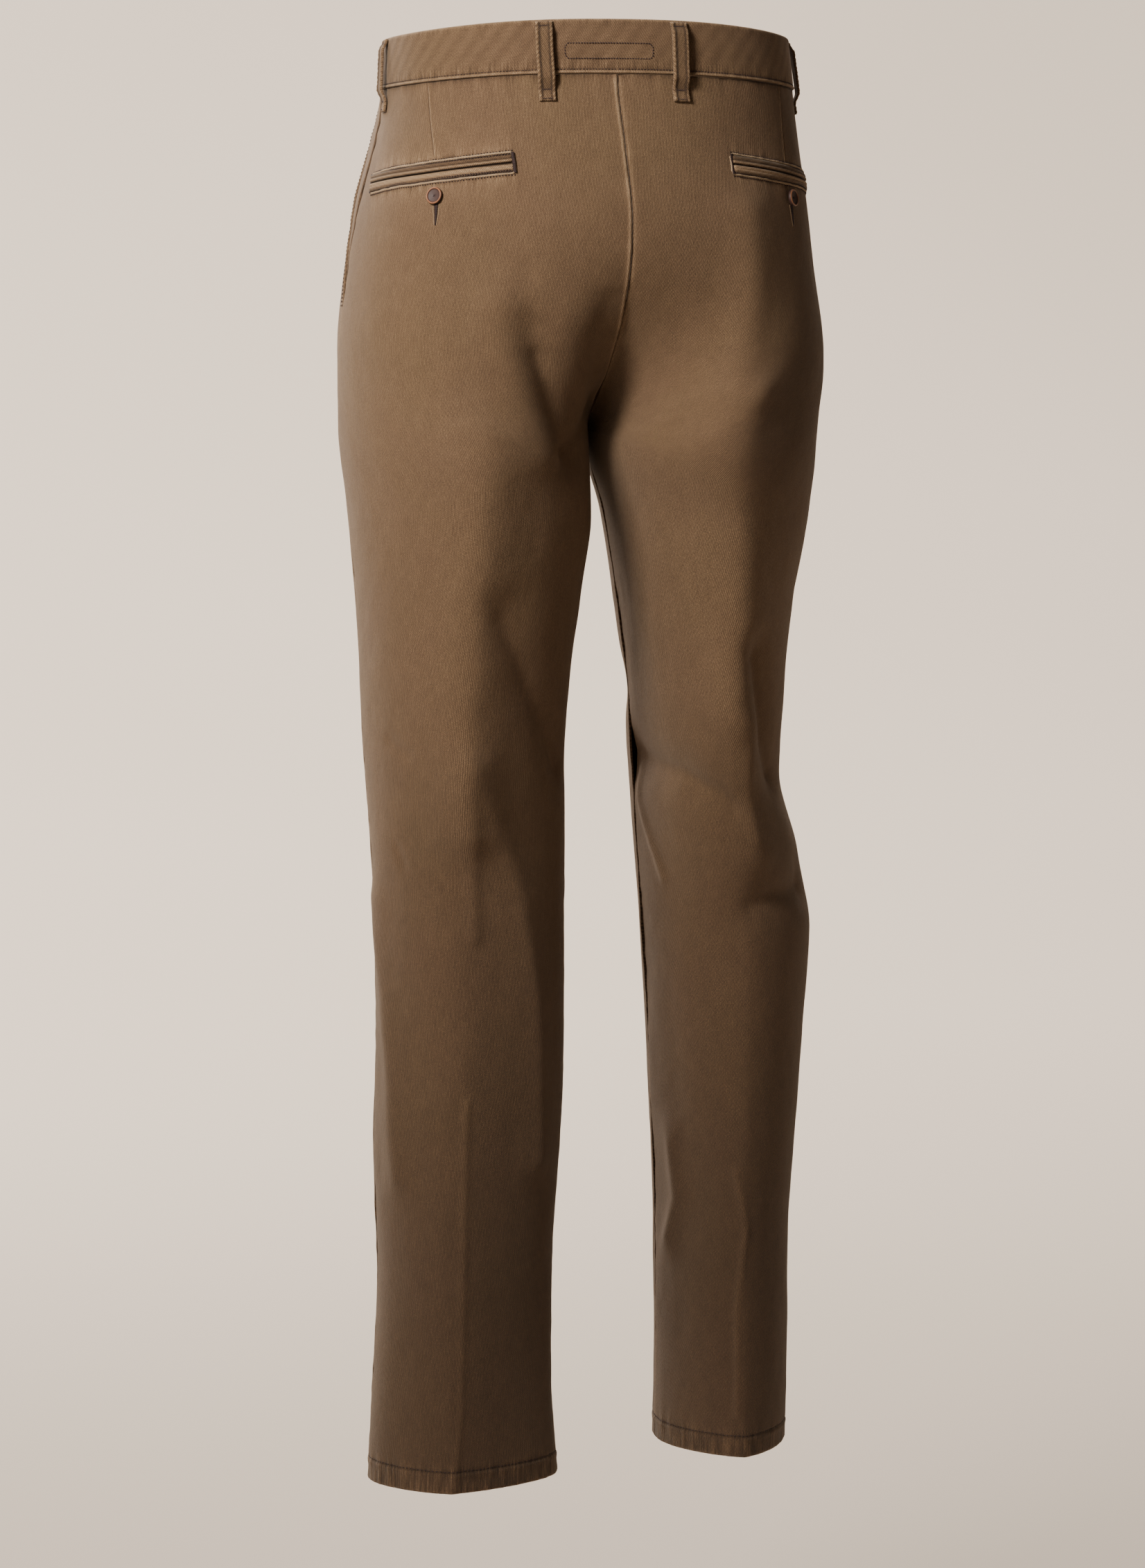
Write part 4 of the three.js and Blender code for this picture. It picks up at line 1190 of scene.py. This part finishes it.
def front_sewing(thread):
    """Stitches along the fly's curved edge and beside the slanted pockets."""
    turns = np.linspace(0, math.pi / 2, 14)
    inset = 2.5
    curve = [(FLY_WIDTH - inset, PANEL_TOP - 1)]
    tip = FLY_TIP - FLY_OVERLAP
    for turn in turns:
        curve.append((tip + (FLY_WIDTH - inset - tip) * math.cos(turn),
                      FLY_BOTTOM + FLY_CORNER - (FLY_CORNER - inset) * math.sin(turn)))
    lines = [stitch_line("left", "front", curve, LAY_GAP + FLY_THICKNESS + 0.05, 2.9, 0.66, seed=9)]
    for side in SIDES:
        for inset in (1.6, 7.2):
            rows = spaced(PANEL_TOP - 1, SLANT_BOTTOM + 2, 3)
            distance = row_length(side, "front", rows) - slant_width(rows) - inset
            line = np.stack([distance, rows], -1)
            lines.append(stitch_line(side, "front", line, 0.1, 2.9, 0.66, seed=11))
    stitch_mesh("front_stitches", *join_lines(*lines), THREAD_WIDTH, thread)


def loop_sewing(thread):
    """Tacks across the ends of each belt loop."""
    lines = []
    for side in SIDES:
        for half, from_centre in LOOPS.values():
            for row, lift in ((-45.8, 1.9), (-51.6, 2.2), (-4.4, 3.6)):
                count = 11
                distance = from_centre[side] + np.linspace(-0.43, 0.43, count) * LOOP_WIDTH
                rows = np.full(count, float(row))
                start = place(side, half, distance, rows - 0.55, lift, fine=False)[0]
                end, out, _, _ = place(side, half, distance + 0.4, rows + 0.55, lift, fine=False)
                lines.append((start, end, out))
    stitch_mesh("belt_loop_stitches", *join_lines(*lines), THREAD_WIDTH, thread, "trim_cloth")


class Nodes:
    """Short ways to add and join a material's nodes."""

    def __init__(self, name):
        self.material = bpy.data.materials.new(name)
        self.material.use_nodes = True
        self.tree = self.material.node_tree
        self.shader = self.tree.nodes["Principled BSDF"]

    def add(self, kind, **settings):
        node = self.tree.nodes.new(kind)
        for key, value in settings.items():
            setattr(node, key, value)
        return node

    def feed(self, socket, value):
        if isinstance(value, bpy.types.NodeSocket):
            self.tree.links.new(value, socket)
        else:
            socket.default_value = value

    def math(self, operation, *values):
        node = self.add("ShaderNodeMath", operation=operation)
        for socket, value in zip(node.inputs, values):
            self.feed(socket, value)
        return node.outputs[0]

    def noise(self, vector, scale, detail=2.0, roughness=0.5):
        node = self.add("ShaderNodeTexNoise")
        self.feed(node.inputs["Vector"], vector)
        node.inputs["Scale"].default_value = scale
        node.inputs["Detail"].default_value = detail
        node.inputs["Roughness"].default_value = roughness
        return node.outputs["Fac"]

    def attribute(self, name):
        return self.add("ShaderNodeAttribute", attribute_name=name).outputs["Fac"]

    def stretched(self, vector, scale):
        node = self.add("ShaderNodeMapping")
        self.feed(node.inputs["Vector"], vector)
        node.inputs["Scale"].default_value = scale
        return node.outputs["Vector"]

    def total(self, start, *terms):
        """Start plus each (value, weight)."""
        for value, weight in terms:
            start = self.math("MULTIPLY_ADD", value, weight, start)
        return start


WALE = 1.05
WEFT = 1.3
CLOTH_TONES = [
    (0.0, (0.012, 0.007, 0.004)),
    (0.3, (0.055, 0.032, 0.0175)),
    (0.5, (0.112, 0.068, 0.037)),
    (0.7, (0.2, 0.131, 0.076)),
    (1.0, (0.4, 0.3, 0.195)),
]


def twill(name, lean, level=0.0, ribs_run="v"):
    """Washed brown cotton twill. The wales lean from the grain by an angle in degrees; the fine ribs beside
    the sewing run along one of the two ways of the cloth."""
    n = Nodes(name)
    uv = n.add("ShaderNodeUVMap", uv_map="cloth").outputs["UV"]
    split = n.add("ShaderNodeSeparateXYZ")
    n.feed(split.inputs[0], uv)
    u, v = split.outputs["X"], split.outputs["Y"]
    turn = math.radians(lean)
    per_metre = 2 * math.pi / (WALE * METRE)
    warp = n.noise(n.stretched(uv, (900, 260, 1)), 1.0, 2)
    along_u = n.math("MULTIPLY", u, per_metre * math.cos(turn))
    wale = n.math("SINE", n.total(along_u, (v, per_metre * math.sin(turn)), (warp, 5.0)))
    up_v = n.math("MULTIPLY", v, 2 * math.pi / (WEFT * METRE))
    cross = n.math("SINE", n.total(up_v, (u, math.pi / (WEFT * METRE)), (warp, 7.0)))
    streak = n.noise(n.stretched(uv, (1100, 120, 1)), 1.0, 2)
    fleck = n.noise(n.stretched(uv, (1500, 900, 1)), 1.0, 1)
    cloud = n.noise(n.stretched(uv, (95, 55, 1)), 1.0, 3, 0.6)
    drift = n.noise(n.stretched(uv, (11, 6, 1)), 1.0, 2)
    wear, painted_shade_and_tone = n.attribute("wear"), n.attribute("painted_shade_and_tone")
    rib = n.noise(n.stretched(uv, (560, 50, 1) if ribs_run == "v" else (50, 560, 1)), 1.0, 2)
    ribs = n.math("MULTIPLY", n.attribute("pucker"), n.math("SUBTRACT", rib, 0.5))
    weave = n.math("MULTIPLY", wale, cross)
    mottle = {"streak": 0.16, "fleck": 0.34, "cloud": 0.1, "drift": 0.1}
    # Worn places turn paler. Painted shade darkens the seams, grooves, slits and rib troughs, and a darker
    # tone lies towards the hems. The fine ribs get paler, worn crests and painted shade in their troughs.
    tone = n.total(0.5 + level - 0.5 * sum(mottle.values()),
                   (wale, 0.1), (weave, 0.06), (streak, mottle["streak"]), (fleck, mottle["fleck"]),
                   (cloud, mottle["cloud"]), (drift, mottle["drift"]),
                   (wear, 0.3), (painted_shade_and_tone, -0.36), (ribs, 1.0))
    ramp = n.add("ShaderNodeValToRGB")
    elements = ramp.color_ramp.elements
    while len(elements) < len(CLOTH_TONES):
        elements.new(0.5)
    for element, (position, colour) in zip(elements, CLOTH_TONES):
        element.position = position
        element.color = (*colour, 1)
    n.feed(ramp.inputs["Fac"], tone)
    tint = n.add("ShaderNodeMix", data_type="RGBA", blend_type="MULTIPLY")
    tint.inputs["Factor"].default_value = 1
    n.feed(tint.inputs["A"], ramp.outputs["Color"])
    hue = n.add("ShaderNodeMix", data_type="RGBA")
    n.feed(hue.inputs["Factor"], n.noise(n.stretched(uv, (14, 9, 1)), 1.0, 2))
    hue.inputs["A"].default_value = (1.0, 1.0, 0.9, 1)
    hue.inputs["B"].default_value = (1.0, 0.93, 0.96, 1)
    n.feed(tint.inputs["B"], hue.outputs["Result"])
    n.feed(n.shader.inputs["Base Color"], tint.outputs["Result"])
    rough = n.total(0.78, (fleck, 0.2), (wear, 0.05))
    n.feed(n.shader.inputs["Roughness"], rough)
    n.shader.inputs["Specular IOR Level"].default_value = 0.25
    n.shader.inputs["Sheen Weight"].default_value = 0.12
    n.shader.inputs["Sheen Roughness"].default_value = 0.6
    n.shader.inputs["Sheen Tint"].default_value = (0.9, 0.75, 0.6, 1)
    rumple = n.noise(n.stretched(uv, (210, 130, 1)), 1.0, 3, 0.55)
    height = n.total(n.math("MULTIPLY", wale, 0.1), (weave, 0.05), (fleck, 0.16), (rumple, 0.35), (ribs, 1.6))
    bump = n.add("ShaderNodeBump")
    bump.inputs["Strength"].default_value = 0.7
    bump.inputs["Distance"].default_value = 0.0009
    n.feed(bump.inputs["Height"], height)
    n.feed(n.shader.inputs["Normal"], bump.outputs["Normal"])
    return n.material


def thread_material(name, dark, light):
    """Twisted sewing thread."""
    n = Nodes(name)
    place_in = n.add("ShaderNodeNewGeometry").outputs["Position"]
    mix = n.add("ShaderNodeMix", data_type="RGBA")
    n.feed(mix.inputs["Factor"], n.noise(place_in, 700, 2))
    mix.inputs["A"].default_value = (*dark, 1)
    mix.inputs["B"].default_value = (*light, 1)
    n.feed(n.shader.inputs["Base Color"], mix.outputs["Result"])
    n.shader.inputs["Roughness"].default_value = 0.7
    n.shader.inputs["Specular IOR Level"].default_value = 0.3
    return n.material


def button_material(name, dark, light, roughness):
    """Moulded plastic with a faint swirl."""
    n = Nodes(name)
    place_in = n.add("ShaderNodeNewGeometry").outputs["Position"]
    mix = n.add("ShaderNodeMix", data_type="RGBA")
    n.feed(mix.inputs["Factor"], n.noise(place_in, 260, 3))
    mix.inputs["A"].default_value = (*dark, 1)
    mix.inputs["B"].default_value = (*light, 1)
    n.feed(n.shader.inputs["Base Color"], mix.outputs["Result"])
    n.feed(n.shader.inputs["Roughness"], n.total(roughness - 0.05, (n.noise(place_in, 900, 2), 0.1)))
    return n.material


STAGE_FLOOR = -1.32
STAGE_FLAT = 4.6
STAGE_RADIUS = 10.4
STAGE_TOP = 7.0


def studio():
    """A pale seamless bowl: flat floor, then one soft curve up into a round wall."""
    bend = STAGE_RADIUS - STAGE_FLAT
    profile = [(STAGE_FLAT * i / 4, STAGE_FLOOR) for i in range(5)]
    for turn in np.linspace(0, math.pi / 2, 25)[1:]:
        profile.append((STAGE_FLAT + bend * math.sin(turn), STAGE_FLOOR + bend * (1 - math.cos(turn))))
    profile.append((STAGE_RADIUS, STAGE_TOP))
    sides = 96
    points = [(0, 0, STAGE_FLOOR)]
    for radius, height in profile[1:]:
        for k in range(sides):
            turn = 2 * math.pi * k / sides
            points.append((radius * math.cos(turn), radius * math.sin(turn), height))
    faces = [(0, 1 + k, 1 + (k + 1) % sides) for k in range(sides)]
    for ring in range(len(profile) - 2):
        a, b = 1 + ring * sides, 1 + (ring + 1) * sides
        faces += [(a + k, b + k, b + (k + 1) % sides, a + (k + 1) % sides) for k in range(sides)]
    bowl = new_mesh("studio_bowl", np.array(points) / METRE, faces)
    n = Nodes("studio_paper")
    place_in = n.add("ShaderNodeNewGeometry").outputs["Position"]
    mix = n.add("ShaderNodeMix", data_type="RGBA")
    n.feed(mix.inputs["Factor"], n.noise(place_in, 0.5, 1))
    mix.inputs["A"].default_value = (0.36, 0.305, 0.25, 1)
    mix.inputs["B"].default_value = (0.4, 0.345, 0.29, 1)
    n.feed(n.shader.inputs["Base Color"], mix.outputs["Result"])
    n.shader.inputs["Roughness"].default_value = 0.95
    n.shader.inputs["Specular IOR Level"].default_value = 0.1
    bowl.data.materials.append(n.material)


def area_light(name, place_at, aim, size, power, colour):
    from_point, to_point = np.array(place_at), np.array(aim)
    light = bpy.data.lights.new(name, "AREA")
    light.shape = "RECTANGLE"
    light.size, light.size_y = size
    light.energy = power
    light.color = colour
    light.spread = math.pi
    lamp = bpy.data.objects.new(name, light)
    lamp.location = from_point
    lamp.rotation_euler = look(to_point - from_point)
    bpy.context.scene.collection.objects.link(lamp)


def look(direction):
    """Turn that points a camera or lamp along a direction, with its top up."""
    return Vector(direction).to_track_quat("-Z", "Y").to_euler()


def lights():
    area_light("key", (1.14, 1.18, 0.72), (0, 0, 0.0), (0.45, 0.45), 58, (1.0, 0.95, 0.87))
    area_light("near_fill", (2.4, 2.9, 0.5), (0, 0, -0.6), (1.8, 1.8), 22, (1.0, 0.985, 0.97))
    area_light("front_fill", (1.5, -3.2, 1.0), (0, 0, -0.5), (1.6, 1.6), 45, (1.0, 0.97, 0.94))
    area_light("backdrop", (0.9, -4.0, 4.4), (0.5, -7.0, -1.3), (5.0, 3.0), 1900, (1.0, 0.95, 0.9))
    world = bpy.data.worlds.new("studio_air")
    world.use_nodes = True
    background = world.node_tree.nodes["Background"]
    background.inputs["Color"].default_value = (1.0, 0.985, 0.96, 1)
    background.inputs["Strength"].default_value = 0.12
    bpy.context.scene.world = world


# The photograph's view: the camera's direction from the object, its distance and what it aims at.
IMAGE_WIDTH = 1652
FOCAL_PIXELS = 6895
CAMERA_TURN = 10.0
CAMERA_PITCH = 5.9
CAMERA_DISTANCE = 3.5
CAMERA_AIM_ASIDE = 0.0091
CAMERA_AIM_HEIGHT = -0.539


def camera():
    turn, pitch = math.radians(CAMERA_TURN), math.radians(CAMERA_PITCH)
    aim = np.array([CAMERA_AIM_ASIDE * math.cos(turn), -CAMERA_AIM_ASIDE * math.sin(turn), CAMERA_AIM_HEIGHT])
    back = np.array([math.sin(turn) * math.cos(pitch), math.cos(turn) * math.cos(pitch), math.sin(pitch)])
    data = bpy.data.cameras.new("camera")
    data.sensor_fit = "HORIZONTAL"
    data.sensor_width = 36
    data.lens = FOCAL_PIXELS / IMAGE_WIDTH * data.sensor_width
    data.clip_end = 60
    eye = bpy.data.objects.new("camera", data)
    eye.location = aim + back * CAMERA_DISTANCE
    eye.rotation_euler = look(-back)
    bpy.context.scene.collection.objects.link(eye)
    bpy.context.scene.camera = eye


def garment():
    cloth = {"left": twill("twill_left", 3), "right": twill("twill_right", -16)}
    band_cloth = twill("twill_band", 62, 0.0, "u")
    trim = twill("twill_trim", 40, -0.02)
    cord = twill("twill_edge", 30, 0.08)
    thread = thread_material("thread", (0.014, 0.0075, 0.008), (0.048, 0.027, 0.025))
    rim = button_material("button_rim", (0.17, 0.062, 0.026), (0.3, 0.12, 0.05), 0.5)
    face = button_material("button_face", (0.03, 0.0105, 0.008), (0.046, 0.017, 0.012), 0.62)
    for side in SIDES:
        for half in ("back", "front"):
            leg_panel(side, half, cloth[side])
        pocket_facing(side, cloth[side])
        for place_name in LOOPS:
            belt_loop(place_name, side, trim)
        for level in ("upper", "lower"):
            pocket_welt(side, level, trim)
        pocket_sewing(side, cord, thread)
        button(f"back_pocket_{side}_button", side, "back", **POCKET_BUTTON, lift=2 * SEAM_GAP,
               materials=(rim, face, thread))
        buttonhole(side, cord, thread)
        hem_sewing(side, thread)
    fly_front(cloth["left"])
    waistband(band_cloth)
    band_sewing(thread)
    patch_sewing(thread)
    front_sewing(thread)
    loop_sewing(thread)
    button("waist_button", "left", "front", **WAIST_BUTTON, lift=BAND_STANDS_OUT + 2 * SEAM_GAP,
           materials=(rim, face, thread))


camera()
studio()
lights()
garment()
